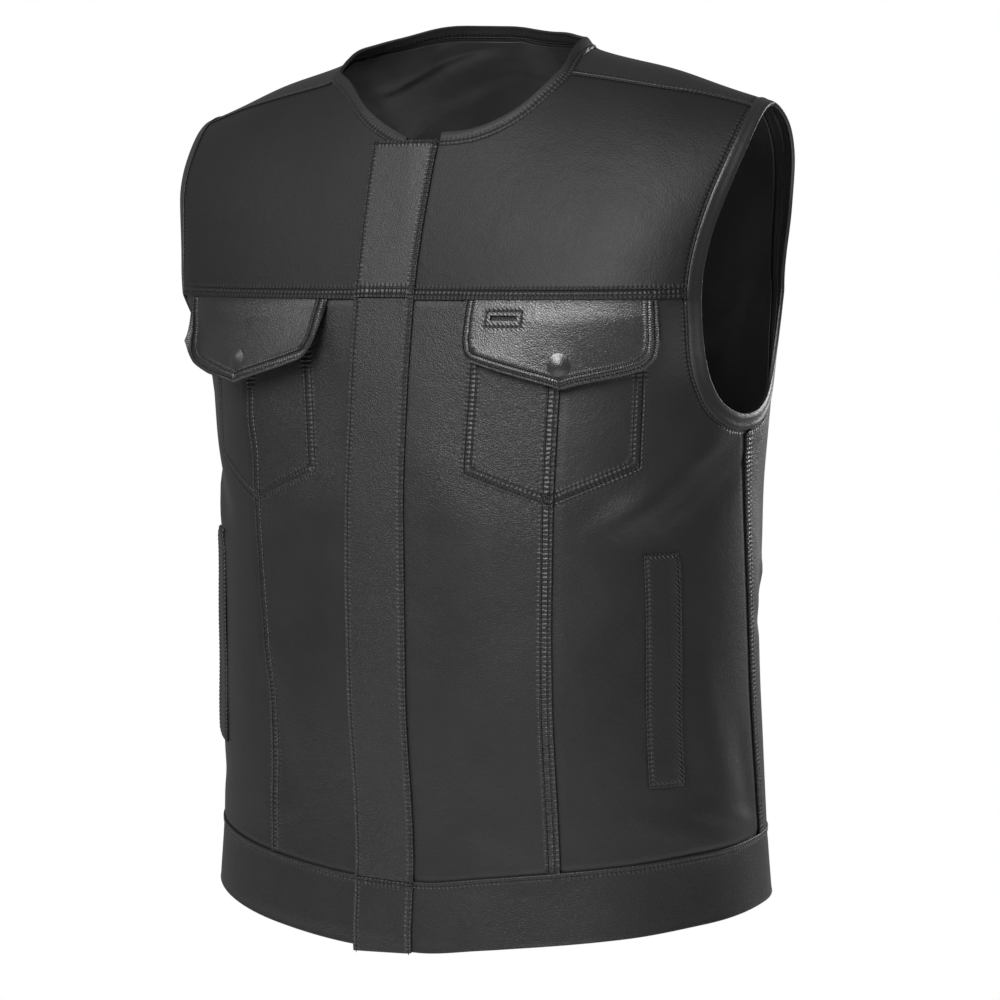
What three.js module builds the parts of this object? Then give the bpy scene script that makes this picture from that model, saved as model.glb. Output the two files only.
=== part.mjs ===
import * as THREE from 'three';

// A collarless leather vest, filled out as it is worn. Millimetres, +Z up, the front faces -Y and the wearer's
// left is +X. Heights count up from the level of the side hem. Across is measured round the body, from the
// centre front on the fronts and from the centre back on the back, and is positive on the wearer's left.
const LEATHER = 2;
const SEAM_GAP = 0.3;
const YOKE_HEIGHT = 459;
const WAISTBAND_HEIGHT = 50;
const NECKBAND_HEIGHT = 10;
const FRONT_MEETING = 10;
const PLACKET = { left: 16.4, right: -33, top: 571, waist: 38, hem: -17, thickness: 2.5 };
const NECK_CENTRE = { y: -20, height: 638 };
const BACK_SQUARENESS = 2.3;

// Level rings of the worn form: half width, depth to the front and to the back, squareness of the front corner
const bodyRings = [
  { height: 0, halfWidth: 225, front: 152, back: 116, squareness: 2.35 },
  { height: 60, halfWidth: 221, front: 146, back: 113, squareness: 2.35 },
  { height: 180, halfWidth: 217, front: 153, back: 113, squareness: 2.25 },
  { height: 300, halfWidth: 219, front: 152, back: 118, squareness: 2.2 },
  { height: 390, halfWidth: 226, front: 143, back: 122, squareness: 2.2 },
  { height: YOKE_HEIGHT, halfWidth: 239, front: 131, back: 121, squareness: 3 },
];

// Shoulder line from the neck point to the tip, and how the cloth rises to it from the yoke on each side
const shoulder = {
  neckX: 94, neckHeight: 638, tipX: 239, tipHeight: 594, y: -8, widening: 0.125, backNeckY: 16,
  front: { neckRise: 11, rise: 1.1, fullness: 0.5 },
  back: { neckRise: 40, rise: 2, fullness: 0.7 },
};
const SHOULDER_CLIMB = 300;

// Largest folds, each along a line from start to end: angle round the body from the centre front, width of the
// soft ridge or trough, and depth, which is positive for a ridge
const folds = [
  { angle: 78, height: 358, endAngle: 55, endHeight: 298, width: 13, depth: 3.2 },
  { angle: 83, height: 338, endAngle: 60, endHeight: 268, width: 16, depth: -2.6 },
  { angle: 72, height: 205, endAngle: 80, endHeight: 82, width: 15, depth: 2.2 },
  { angle: 96, height: 330, endAngle: 104, endHeight: 150, width: 15, depth: -2.8 },
  { angle: 104, height: 300, endAngle: 116, endHeight: 96, width: 14, depth: 2.8 },
  { angle: -52, height: 428, endAngle: -46, endHeight: 352, width: 40, depth: 3.7 },
  { angle: -80, height: 352, endAngle: -58, endHeight: 288, width: 14, depth: -3.4 },
  { angle: -76, height: 262, endAngle: -70, endHeight: 120, width: 15, depth: 2.4 },
  { angle: -42, height: 186, endAngle: -36, endHeight: 92, width: 20, depth: -3 },
  { angle: -98, height: 322, endAngle: -108, endHeight: 130, width: 15, depth: 3 },
  { angle: -112, height: 286, endAngle: -120, endHeight: 88, width: 14, depth: -2.6 },
  { angle: 126, height: 402, endAngle: 146, endHeight: 262, width: 19, depth: -4 },
  { angle: 138, height: 384, endAngle: 162, endHeight: 214, width: 20, depth: 3.6 },
  { angle: -124, height: 388, endAngle: -148, endHeight: 244, width: 19, depth: 4 },
  { angle: -139, height: 362, endAngle: -163, endHeight: 190, width: 21, depth: -3.6 },
  { angle: 168, height: 176, endAngle: 138, endHeight: 116, width: 18, depth: -3.2 },
  { angle: -148, height: 104, endAngle: -176, endHeight: 142, width: 18, depth: 3.4 },
  { angle: 174, height: 520, endAngle: 172, endHeight: 330, width: 24, depth: -2.8 },
  { angle: -82, height: 580, endAngle: -78, endHeight: 450, width: 30, depth: 6 },
];
const MM_PER_DEGREE = 3.2;

// Edge lines, read by across or by height
const hemLine = [
  { across: -575, height: 9 },
  { across: -300, height: 3 },
  { across: -200, height: -3 },
  { across: -110, height: -9 },
  { across: -30, height: -13 },
  { across: 20, height: -12 },
  { across: 70, height: -5 },
  { across: 115, height: 1 },
  { across: 175, height: 7 },
  { across: 235, height: 11 },
  { across: 300, height: 11 },
  { across: 575, height: 9 },
];
const sideSeam = [
  { height: 0, across: 309 },
  { height: 100, across: 305 },
  { height: 200, across: 298 },
  { height: 290, across: 289 },
  { height: 362, across: 283 },
];
const princessSeam = {
  left: [
    { height: 0, across: 127 },
    { height: 180, across: 125 },
    { height: 300, across: 127 },
    { height: YOKE_HEIGHT, across: 130 },
  ],
  right: [
    { height: 0, across: 119 },
    { height: 150, across: 119 },
    { height: 300, across: 130 },
    { height: YOKE_HEIGHT, across: 137 },
  ],
};

// The neckline seam of each front, from the centre to the forward shoulder seam
const neckline = {
  left: [
    { across: FRONT_MEETING + SEAM_GAP / 2, height: 567.5 },
    { across: 17.4, height: 567.7 },
    { across: 37, height: 569 },
    { across: 54, height: 575 },
    { across: 70, height: 586 },
    { across: 83.5, height: 603 },
    { across: 91, height: 616 },
  ],
  right: [
    { across: SEAM_GAP / 2 - FRONT_MEETING, height: 561 },
    { across: 10, height: 565.5 },
    { across: 28, height: 574 },
    { across: 44, height: 583.5 },
    { across: 60, height: 597 },
    { across: 74, height: 609 },
    { across: 88, height: 616.5 },
  ],
};
// The neckline round the back: over is 1 at the yoke level in front, 0 on the shoulder line, -1 behind
const backNeckline = [
  { x: 102, over: 0.32 },
  { x: 100, over: 0.05 },
  { x: 95, over: -0.12 },
  { x: 80, over: -0.24 },
  { x: 60, over: -0.33 },
  { x: 36, over: -0.415 },
  { x: 16, over: -0.455 },
  { x: 0, over: -0.47 },
];
const shoulderSeam = [
  { across: 91, height: 616 },
  { across: 121, height: 610.3 },
  { across: 149.5, height: 604.5 },
  { across: 177.5, height: 599.2 },
  { across: 213, height: 590 },
];

// The armhole, from the underarm up the front to the forward shoulder seam and up the back over the shoulder
// line: the folded rim, and the seam where the band meets the panels. Both runs start at the side seam.
const armholeFront = [
  { rim: 284, rimHeight: 373, seam: 284, seamHeight: 361.5 },
  { rim: 269, rimHeight: 375, seam: 262, seamHeight: 364.5 },
  { rim: 251, rimHeight: 384, seam: 240, seamHeight: 377 },
  { rim: 239, rimHeight: 401, seam: 227.5, seamHeight: 396 },
  { rim: 232.5, rimHeight: 424, seam: 221.5, seamHeight: 416 },
  { rim: 230, rimHeight: 445, seam: 219, seamHeight: 444 },
  { rim: 228.6, rimHeight: 466, seam: 217.5, seamHeight: 467 },
  { rim: 225.8, rimHeight: 500, seam: 215, seamHeight: 499 },
  { rim: 224.7, rimHeight: 531, seam: 213, seamHeight: 531 },
  { rim: 224.2, rimHeight: 559, seam: 212.8, seamHeight: 560 },
  { rim: 224, rimHeight: 589, seam: 213, seamHeight: 590 },
];
const armholeBack = [
  { rim: 283, rimHeight: 375.5, seam: 277, seamHeight: 365 },
  { rim: 268, rimHeight: 384, seam: 260, seamHeight: 376 },
  { rim: 256, rimHeight: 400, seam: 246, seamHeight: 394 },
  { rim: 247, rimHeight: 424, seam: 236, seamHeight: 420 },
  { rim: 242, rimHeight: 452, seam: 231, seamHeight: 450 },
];
const armholeOver = [
  { rimX: 228, seamX: 217, over: -0.84 },
  { rimX: 234, seamX: 223, over: -0.68 },
  { rimX: 241, seamX: 230, over: -0.5 },
  { rimX: 244, seamX: 233, over: -0.32 },
  { rimX: 243, seamX: 232, over: -0.15 },
  { rimX: 241.5, seamX: 230.5, over: 0 },
];

// Chest pocket flap: its lower edge, and how far it stands off the front at its point
const flapEdge = [
  { across: 57.5, height: 430 },
  { across: 60, height: 420 },
  { across: 65, height: 415 },
  { across: 72, height: 412.6 },
  { across: 122, height: 399 },
  { across: 129.7, height: 396.6 },
  { across: 137.5, height: 398.8 },
  { across: 186, height: 411 },
  { across: 192, height: 415.5 },
  { across: 195.5, height: 421 },
  { across: 197.5, height: 430 },
];
const flapLift = { left: 5, right: 16 };
const FLAP_THICKNESS = 2.4;
const snap = { across: 129.7, height: 414, radius: 7.2, rise: 2.4 };

// Pocket bag behind each front, and the upright welt of the hand pocket
const pocketBag = { inner: 62, outer: 188, top: 440, side: 338, point: 315.5, pointAcross: 126 };
const welt = { inner: 192, outer: 219, bottom: 113, top: 279.5, thickness: 1.6 };

// How the overlays and under layers lie on the cloth. A bag, a welt and the neckband cross the facets of the
// panels, so they keep a little further off.
const OVERLAY_GAP = 0.3;
const CROSSING_GAP = 0.9;
const BAG_THICKNESS = 1;
const NECKBAND_THICKNESS = 2.6;
const NECKBAND_TUCK = 1;
const neckStand = { front: 66, side: 42, back: 66 };
const WAISTBAND_THICKNESS = 3;
const BAND_THICKNESS = { proud: 0.6, deep: 2.4 };

// Rows and columns of the walls. An armhole band has a column for each row of the panels that it meets.
const grid = {
  yokeColumns: 10, yokeRows: 12, centreColumns: 8, centreRows: 16, sideColumns: 10, sideRows: 9, armholeRows: 8,
  backNeckColumns: 16, backSideRows: 10, backArmholeRows: 14, liningFirstRow: 9,
};

const leather = new THREE.MeshStandardMaterial({ color: 0x2b2b2d, roughness: 0.46, metalness: 0 });
const lining = new THREE.MeshStandardMaterial({ color: 0x161618, roughness: 0.6, metalness: 0 });

// Reads a column of a table as a smooth curve of another column, without overshoot
function tableCurve(rows, key, column) {
  const slopes = rows.slice(1).map((row, i) => (row[column] - rows[i][column]) / (row[key] - rows[i][key]));
  const tangents = rows.map((_, i) => {
    if (i === 0 || i === rows.length - 1) return slopes[Math.min(i, slopes.length - 1)];
    const [before, after] = [slopes[i - 1], slopes[i]];
    return before * after > 0 ? (2 * before * after) / (before + after) : 0;
  });
  return (at) => {
    let i = 0;
    while (i < rows.length - 2 && at > rows[i + 1][key]) i += 1;
    const span = rows[i + 1][key] - rows[i][key];
    const t = (at - rows[i][key]) / span;
    if (t < 0) return rows[0][column];
    if (t > 1) return rows[rows.length - 1][column];
    const t2 = t * t;
    const t3 = t2 * t;
    return (2 * t3 - 3 * t2 + 1) * rows[i][column] + (t3 - 2 * t2 + t) * span * tangents[i]
      + (3 * t2 - 2 * t3) * rows[i + 1][column] + (t3 - t2) * span * tangents[i + 1];
  };
}

const ringColumn = {};
for (const column of ['halfWidth', 'front', 'back', 'squareness']) {
  ringColumn[column] = tableCurve(bodyRings, 'height', column);
}
const hemHeight = tableCurve(hemLine, 'across', 'height');
const sideSeamAcross = tableCurve(sideSeam, 'height', 'across');
const princessAcross = {
  left: tableCurve(princessSeam.left, 'height', 'across'),
  right: tableCurve(princessSeam.right, 'height', 'across'),
};

function smoothStep(value) {
  const t = THREE.MathUtils.clamp(value, 0, 1);
  return t * t * (3 - 2 * t);
}

function ringPoint(angle, height) {
  const level = THREE.MathUtils.clamp(height, 0, YOKE_HEIGHT);
  const radians = THREE.MathUtils.degToRad(angle);
  const sine = Math.sin(radians);
  const cosine = Math.cos(radians);
  const depth = cosine > 0 ? ringColumn.front(level) : ringColumn.back(level);
  const power = cosine > 0 ? ringColumn.squareness(level) : BACK_SQUARENESS;
  const sum = Math.abs(sine / ringColumn.halfWidth(level)) ** power + Math.abs(cosine / depth) ** power;
  const reach = sum ** (-1 / power);
  return { x: reach * sine, y: -reach * cosine };
}

// Length round the ring from the centre front to each whole step of the angle
const RING_STEPS = 120;
const ringLengths = new Map();
function ringLength(height) {
  const level = Math.round(THREE.MathUtils.clamp(height, 0, YOKE_HEIGHT));
  if (!ringLengths.has(level)) {
    const lengths = [0];
    let last = ringPoint(0, level);
    for (let i = 1; i <= RING_STEPS; i += 1) {
      const next = ringPoint((180 * i) / RING_STEPS, level);
      lengths.push(lengths[i - 1] + Math.hypot(next.x - last.x, next.y - last.y));
      last = next;
    }
    ringLengths.set(level, lengths);
  }
  return ringLengths.get(level);
}

function halfGirth(height) {
  return ringLength(height)[RING_STEPS];
}

function angleAt(across, height) {
  const lengths = ringLength(height);
  const wanted = Math.abs(across);
  let i = 0;
  while (i < RING_STEPS - 1 && lengths[i + 1] < wanted) i += 1;
  const part = (wanted - lengths[i]) / (lengths[i + 1] - lengths[i]);
  return (Math.sign(across) * 180 * (i + part)) / RING_STEPS;
}

function foldLift(angle, height) {
  let lift = 0;
  for (const fold of folds) {
    const runX = (fold.endAngle - fold.angle) * MM_PER_DEGREE;
    const runZ = fold.endHeight - fold.height;
    const length = Math.hypot(runX, runZ);
    const offX = (angle - fold.angle) * MM_PER_DEGREE;
    const offZ = height - fold.height;
    const along = (offX * runX + offZ * runZ) / (length * length);
    const beside = (offX * runZ - offZ * runX) / length;
    const taper = smoothStep(2.2 * along + 0.4) * smoothStep(2.2 * (1 - along) + 0.4);
    lift += fold.depth * Math.exp(-((beside / fold.width) ** 2)) * taper;
  }
  return lift;
}

function pushOut(x, y, height, angle) {
  const lift = foldLift(angle, height);
  const reach = Math.hypot(x, y);
  return new THREE.Vector3(x + (lift * x) / reach, y + (lift * y) / reach, height);
}

function ridge(x, side) {
  const slope = (shoulder.neckHeight - shoulder.tipHeight) / (shoulder.tipX - shoulder.neckX);
  const bell = Math.max(1 - (x / (shoulder.neckX * 1.25)) ** 2, 0) ** 2;
  const height = shoulder.neckHeight - slope * (Math.abs(x) - shoulder.neckX) + side.neckRise * bell;
  const y = shoulder.y + (side === shoulder.back ? shoulder.backNeckY * bell : 0);
  return { height, y };
}

// A point above the yoke level by its distance from the centre line and how far over the shoulder it lies
function shoulderPoint(x, over) {
  const side = over > 0 ? shoulder.front : shoulder.back;
  const top = ridge(x, side);
  const part = 1 - over * over;
  const height = YOKE_HEIGHT + (top.height - YOKE_HEIGHT) * part;
  const widening = shoulderWidening(height);
  const halfWidth = ringColumn.halfWidth(YOKE_HEIGHT);
  const power = over > 0 ? ringColumn.squareness(YOKE_HEIGHT) : BACK_SQUARENESS;
  const depth = over > 0 ? -ringColumn.front(YOKE_HEIGHT) : ringColumn.back(YOKE_HEIGHT);
  const ringX = x / widening;
  const ringY = depth * Math.max(1 - Math.abs(ringX / halfWidth) ** power, 0) ** (1 / power);
  const y = top.y + (ringY - top.y) * (1 - part ** side.rise) ** side.fullness;
  return pushOut(x, y, height, THREE.MathUtils.radToDeg(Math.atan2(ringX, -ringY)));
}

function shoulderWidening(height) {
  const part = smoothStep((height - YOKE_HEIGHT) / (shoulder.tipHeight - YOKE_HEIGHT));
  return 1 + shoulder.widening * part;
}

function bodyPoint(across, height) {
  const angle = angleAt(across, height);
  const point = ringPoint(angle, height);
  return pushOut(point.x, point.y, height, angle);
}

function frontPoint(across, height) {
  if (height <= YOKE_HEIGHT) return bodyPoint(across, height);
  const x = ringPoint(angleAt(across, YOKE_HEIGHT), YOKE_HEIGHT).x * shoulderWidening(height);
  const rise = (height - YOKE_HEIGHT) / (ridge(x, shoulder.front).height - YOKE_HEIGHT);
  return shoulderPoint(x, Math.sqrt(Math.max(1 - rise, 1e-6)));
}

// The back by across from the centre back and by climb: the height up to the yoke level, then up and over the
// shoulder line and down to the forward shoulder seam
function backPoint(across, climb) {
  if (climb <= YOKE_HEIGHT) {
    const girth = halfGirth(climb);
    const round = across >= 0 ? girth - across : -girth - across;
    return bodyPoint(round, climb);
  }
  const over = (climb - YOKE_HEIGHT) / SHOULDER_CLIMB - 1;
  const ringX = backRingX(across);
  const height = YOKE_HEIGHT + (ridge(ringX, shoulder.back).height - YOKE_HEIGHT) * (1 - over * over);
  return shoulderPoint(ringX * shoulderWidening(height), over === 0 ? -1e-4 : over);
}

function backRingX(across) {
  const girth = halfGirth(YOKE_HEIGHT);
  return Math.sign(across) * Math.abs(ringPoint(angleAt(girth - Math.abs(across), YOKE_HEIGHT), YOKE_HEIGHT).x);
}

function shoulderClimb(over) {
  return YOKE_HEIGHT + SHOULDER_CLIMB * (1 + over);
}

// Across on the back of a point at a distance from the centre line, found by halving
function backAcross(x, over) {
  let low = 0;
  let high = 296;
  for (let i = 0; i < 40; i += 1) {
    const middle = (low + high) / 2;
    if (backPoint(middle, shoulderClimb(over)).x < Math.abs(x)) low = middle;
    else high = middle;
  }
  return Math.sign(x) * low;
}

// Adds the direction straight out of the cloth to a point of a map of the form
function withNormal(map, across, height) {
  const step = 0.4;
  const point = map(across, height);
  const right = map(across + step, height).sub(map(across - step, height));
  const up = map(across, height + step).sub(map(across, height - step));
  const normal = new THREE.Vector3().crossVectors(right, up).normalize();
  return { point, normal };
}

function onFront(across, height) {
  return withNormal(frontPoint, across, height);
}

function onBack(across, climb) {
  const place = withNormal(backPoint, across, climb);
  place.normal.negate();
  return place;
}

// A smooth curve through a list of across and height pairs, read from 0 to 1
function edgeCurve(points) {
  const curve = new THREE.SplineCurve(points.map(([across, height]) => new THREE.Vector2(across, height)));
  return (part) => curve.getPoint(THREE.MathUtils.clamp(part, 0, 1));
}

function sliced(curve, start, end) {
  return (part) => curve(THREE.MathUtils.lerp(start, end, part));
}

// Two curves end to end, the first taking the given share of the whole
function cornered(share, first, second) {
  return (part) => (part < share ? first(part / share) : second((part - share) / (1 - share)));
}

// Curves end to end, each taking a share of the whole by its length
function joined(...curves) {
  const steps = 30;
  const lengths = curves.map((curve) => {
    let length = 0;
    for (let i = 0; i < steps; i += 1) length += curve(i / steps).distanceTo(curve((i + 1) / steps));
    return length;
  });
  const total = lengths.reduce((sum, length) => sum + length, 0);
  return (part) => {
    let left = part * total;
    let i = 0;
    while (i < curves.length - 1 && left > lengths[i]) {
      left -= lengths[i];
      i += 1;
    }
    return curves[i](Math.min(left / lengths[i], 1));
  };
}

// Where on a rising curve a height is reached
function partAtHeight(curve, height) {
  let low = 0;
  let high = 1;
  for (let i = 0; i < 30; i += 1) {
    const middle = (low + high) / 2;
    if (curve(middle).y < height) low = middle;
    else high = middle;
  }
  return low;
}

// A four-sided patch of cloth between its inner, outer, bottom and top edges. The shape of the top edge fades
// downwards, the faster the larger the fading.
function patch(inner, outer, bottom, top, fading = 1) {
  const lowLine = new THREE.LineCurve(bottom(0), bottom(1));
  const highLine = new THREE.LineCurve(top(0), top(1));
  return (u, v) => {
    const share = v ** fading;
    const bow = bottom(u).sub(lowLine.getPoint(u)).multiplyScalar(1 - share);
    const dip = top(u).sub(highLine.getPoint(u)).multiplyScalar(share);
    return inner(v).lerp(outer(v), u).add(bow).add(dip);
  };
}

// A closed wall of cloth: place(u, v) gives a point and its outward normal, and the wall runs from the inner
// to the outer distance along that normal. A looped wall joins its last column to its first.
function clothWall({ name, columns, rows, place, inner, outer, looped = false, material = leather }) {
  const stride = rows + 1;
  const columnCount = looped ? columns : columns + 1;
  const positions = [];
  for (const distance of [outer, inner]) {
    for (let i = 0; i < columnCount; i += 1) {
      for (let j = 0; j <= rows; j += 1) {
        const { point, normal } = place(i / columns, j / rows);
        const reach = typeof distance === 'function' ? distance(i / columns, j / rows) : distance;
        positions.push(...point.addScaledVector(normal, reach).toArray());
      }
    }
  }
  const layer = columnCount * stride;
  const index = [];
  const corner = (i) => new THREE.Vector3().fromArray(positions, 3 * i);
  // Two triangles, split along the diagonal that is shorter on the outer layer
  const quad = (a, b, c, d) => {
    const [p, q, r, t] = [a, b, c, d].map((i) => corner(i % layer));
    if (p.distanceTo(r) <= q.distanceTo(t)) index.push(a, b, c, a, c, d);
    else index.push(b, c, d, b, d, a);
  };
  const at = (i, j) => (i % columnCount) * stride + j;
  for (let i = 0; i < columns; i += 1) {
    for (let j = 0; j < rows; j += 1) {
      quad(at(i, j), at(i + 1, j), at(i + 1, j + 1), at(i, j + 1));
      quad(layer + at(i, j), layer + at(i, j + 1), layer + at(i + 1, j + 1), layer + at(i + 1, j));
    }
    quad(layer + at(i, 0), layer + at(i + 1, 0), at(i + 1, 0), at(i, 0));
    quad(at(i, rows), at(i + 1, rows), layer + at(i + 1, rows), layer + at(i, rows));
  }
  if (!looped) {
    for (let j = 0; j < rows; j += 1) {
      quad(at(0, j), at(0, j + 1), layer + at(0, j + 1), layer + at(0, j));
      quad(layer + at(columns, j), layer + at(columns, j + 1), at(columns, j + 1), at(columns, j));
    }
  }
  if (signedVolume(positions, index) < 0) index.reverse();
  const geometry = new THREE.BufferGeometry();
  geometry.setAttribute('position', new THREE.Float32BufferAttribute(positions, 3));
  geometry.setIndex(index);
  return namedMesh(name, geometry, material);
}

function namedMesh(name, geometry, material) {
  geometry.computeVertexNormals();
  const mesh = new THREE.Mesh(geometry, material);
  mesh.name = name;
  return mesh;
}

function signedVolume(positions, index) {
  const corner = (i) => new THREE.Vector3().fromArray(positions, 3 * index[i]);
  let volume = 0;
  for (let i = 0; i < index.length; i += 3) {
    volume += corner(i).dot(corner(i + 1).cross(corner(i + 2))) / 6;
  }
  return volume;
}

// Turns a map of the patch into the places of a wall on one side of the front
function frontPlace(map, sign) {
  return (u, v) => {
    const spot = map(u, v);
    return onFront(sign * spot.x, spot.y);
  };
}

function waistHeight(across) {
  return hemHeight(across) + WAISTBAND_HEIGHT;
}

const armholeFrontSeam = edgeCurve(armholeFront.map((row) => [row.seam, row.seamHeight]));
const armholeFrontRim = edgeCurve(armholeFront.map((row) => [row.rim, row.rimHeight]));
const armholeYokePart = partAtHeight(armholeFrontSeam, YOKE_HEIGHT + SEAM_GAP / 2);
const armholeSidePart = partAtHeight(armholeFrontSeam, YOKE_HEIGHT - SEAM_GAP / 2);
const shoulderSeamCurve = edgeCurve(shoulderSeam.map((row) => [row.across, row.height]));

function frontEdge(sign) {
  return SEAM_GAP / 2 + (sign > 0 ? FRONT_MEETING : -FRONT_MEETING);
}

function frontYoke(side, sign) {
  const base = YOKE_HEIGHT + SEAM_GAP / 2;
  const edge = frontEdge(sign);
  const neck = neckline[side].map((row) => [row.across, row.height]);
  const outer = sliced(armholeFrontSeam, armholeYokePart, 1);
  const inner = joined(edgeCurve([[edge, base], neck[0]]), edgeCurve(neck));
  const bottom = edgeCurve([[edge, base], outer(0).toArray()]);
  const map = patch(inner, outer, bottom, shoulderSeamCurve);
  const offShoulderSeam = (u, v) => {
    const spot = map(u, v);
    return spot.setY(spot.y - SEAM_GAP * v ** 8);
  };
  const place = frontPlace(offShoulderSeam, sign);
  return clothWall({
    name: `front_yoke_${side}`, columns: grid.yokeColumns, rows: grid.yokeRows, inner: -LEATHER, outer: 0, place,
  });
}

function frontCentre(side, sign) {
  const place = (u, v) => {
    const level = THREE.MathUtils.lerp(0, YOKE_HEIGHT, v);
    const across = THREE.MathUtils.lerp(frontEdge(sign), princessAcross[side](level) - SEAM_GAP / 2, u);
    const base = waistHeight(sign * across) + SEAM_GAP / 2;
    return onFront(sign * across, THREE.MathUtils.lerp(base, YOKE_HEIGHT - SEAM_GAP / 2, v));
  };
  const { centreColumns: columns, centreRows: rows } = grid;
  return clothWall({ name: `front_centre_${side}`, columns, rows, inner: -LEATHER, outer: 0, place });
}

// Moves the start of the armhole line off the side seam by half its gap
function offSideSeam(curve) {
  return (part) => {
    const spot = curve(part);
    return spot.setX(spot.x - (SEAM_GAP / 2) * Math.max(1 - 4 * part, 0));
  };
}

function frontSide(side, sign) {
  const top = YOKE_HEIGHT - SEAM_GAP / 2;
  const princess = princessAcross[side];
  const lowest = waistHeight(sign * princess(0)) + SEAM_GAP / 2;
  const inner = (part) => new THREE.Vector2(
    princess(THREE.MathUtils.lerp(0, YOKE_HEIGHT, part)) + SEAM_GAP / 2,
    THREE.MathUtils.lerp(lowest, top, part),
  );
  const sideBase = waistHeight(sign * sideSeamAcross(0)) + SEAM_GAP / 2;
  const sideLine = (part) => {
    const height = THREE.MathUtils.lerp(sideBase, armholeFront[0].seamHeight, part);
    return new THREE.Vector2(sideSeamAcross(height) - SEAM_GAP / 2, height);
  };
  const rows = grid.sideRows + grid.armholeRows;
  const armhole = offSideSeam(sliced(armholeFrontSeam, 0, armholeSidePart));
  const outer = cornered(grid.sideRows / rows, sideLine, armhole);
  const bottom = (part) => {
    const across = THREE.MathUtils.lerp(inner(0).x, sideLine(0).x, part);
    return new THREE.Vector2(across, waistHeight(sign * across) + SEAM_GAP / 2);
  };
  const yokeLine = edgeCurve([inner(1).toArray(), armhole(1).toArray()]);
  const place = frontPlace(patch(inner, outer, bottom, yokeLine), sign);
  const columns = grid.sideColumns;
  return clothWall({ name: `front_side_${side}`, columns, rows, inner: -LEATHER, outer: 0, place });
}

// A place on the shoulder, given on the front, as the back reaches it over the shoulder line
function overShoulder(across, height) {
  const { point } = onFront(across, height);
  const over = Math.sqrt(1 - (height - YOKE_HEIGHT) / (ridge(point.x, shoulder.front).height - YOKE_HEIGHT));
  return new THREE.Vector2(backAcross(point.x, over), shoulderClimb(over));
}

// The armhole line up the back, from the side seam to the forward shoulder seam
function armholeBackLine(columnAcross, columnHeight, columnX) {
  const underarm = armholeFront[0];
  const tip = armholeFront[armholeFront.length - 1];
  const height = underarm[columnHeight];
  return edgeCurve([
    [halfGirth(height) - underarm[columnAcross], height],
    ...armholeBack.map((row) => [row[columnAcross], row[columnHeight]]),
    ...armholeOver.map((row) => [backAcross(row[columnX], row.over), shoulderClimb(row.over)]),
    overShoulder(tip[columnAcross], tip[columnHeight]).toArray(),
  ]);
}
const armholeBackSeam = armholeBackLine('seam', 'seamHeight', 'seamX');
const armholeBackRim = armholeBackLine('rim', 'rimHeight', 'rimX');

// How far along the armhole's back line a row of the back meets it: close rows at the underarm, wider above
function armholeBackPart(part) {
  const low = armholeBackSeam(0).y;
  const high = armholeBackSeam(1).y;
  return partAtHeight(armholeBackSeam, THREE.MathUtils.lerp(low, high, part ** 1.35));
}

function backSideAcross(height) {
  return halfGirth(height) - sideSeamAcross(height) - SEAM_GAP / 2;
}

function mirrored(curve) {
  return (part) => {
    const spot = curve(part);
    return spot.setX(-spot.x);
  };
}

// The back as one patch, its columns running from the wearer's right side to the left
function backMap() {
  const baseHeight = (across) => {
    const round = Math.sign(across) * (halfGirth(WAISTBAND_HEIGHT) - Math.abs(across));
    return waistHeight(round) + SEAM_GAP / 2;
  };
  const sideLine = (base) => (part) => {
    const height = THREE.MathUtils.lerp(base, armholeFront[0].seamHeight, part);
    return new THREE.Vector2(backSideAcross(height), height);
  };
  const sideShare = grid.backSideRows / (grid.backSideRows + grid.backArmholeRows);
  const armhole = offSideSeam((part) => armholeBackSeam(armholeBackPart(part)));
  const edge = (base) => cornered(sideShare, sideLine(base), armhole);
  const width = backSideAcross(WAISTBAND_HEIGHT);
  const left = edge(baseHeight(width));
  const right = mirrored(edge(baseHeight(-width)));
  const bottom = (part) => {
    const across = THREE.MathUtils.lerp(right(0).x, left(0).x, part);
    return new THREE.Vector2(across, baseHeight(across || 1e-6));
  };
  const seam = (part) => {
    const spot = shoulderSeamCurve(part);
    return overShoulder(spot.x, spot.y);
  };
  const neckPoints = backNeckline.map((row) => [backAcross(row.x, row.over), shoulderClimb(row.over)]);
  const halfNeck = [seam(0).toArray(), ...neckPoints];
  const otherHalf = halfNeck.slice(0, -1).map(([across, climb]) => [-across, climb]);
  const neck = edgeCurve([...otherHalf, ...halfNeck.reverse()]);
  const columns = 2 * grid.yokeColumns + grid.backNeckColumns;
  const neckShare = grid.backNeckColumns / (grid.yokeColumns + grid.backNeckColumns);
  const neckAndLeft = cornered(neckShare, neck, seam);
  const top = cornered(grid.yokeColumns / columns, (part) => mirrored(seam)(1 - part), neckAndLeft);
  return { map: patch(right, left, bottom, top, 2), neck, columns };
}
const backCut = backMap();

function backPlace(u, v) {
  const spot = backCut.map(u, v);
  return onBack(spot.x, spot.y);
}

function back() {
  const rows = grid.backSideRows + grid.backArmholeRows;
  return clothWall({
    name: 'back', columns: backCut.columns, rows, inner: -LEATHER, outer: 0, place: backPlace,
  });
}

// The lining shows in the neck and the armholes. It follows the back's own rows and columns, one in from the
// edges, and ends behind the lower back.
function backLining() {
  const backRows = grid.backSideRows + grid.backArmholeRows;
  const columns = backCut.columns - 2;
  const rows = backRows - 1 - grid.liningFirstRow;
  const place = (u, v) => backPlace((1 + u * columns) / backCut.columns, (grid.liningFirstRow + v * rows) / backRows);
  const outer = -LEATHER - OVERLAY_GAP;
  const inner = outer - BAG_THICKNESS;
  return clothWall({ name: 'back_lining', columns, rows, inner, outer, place, material: lining });
}

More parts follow.
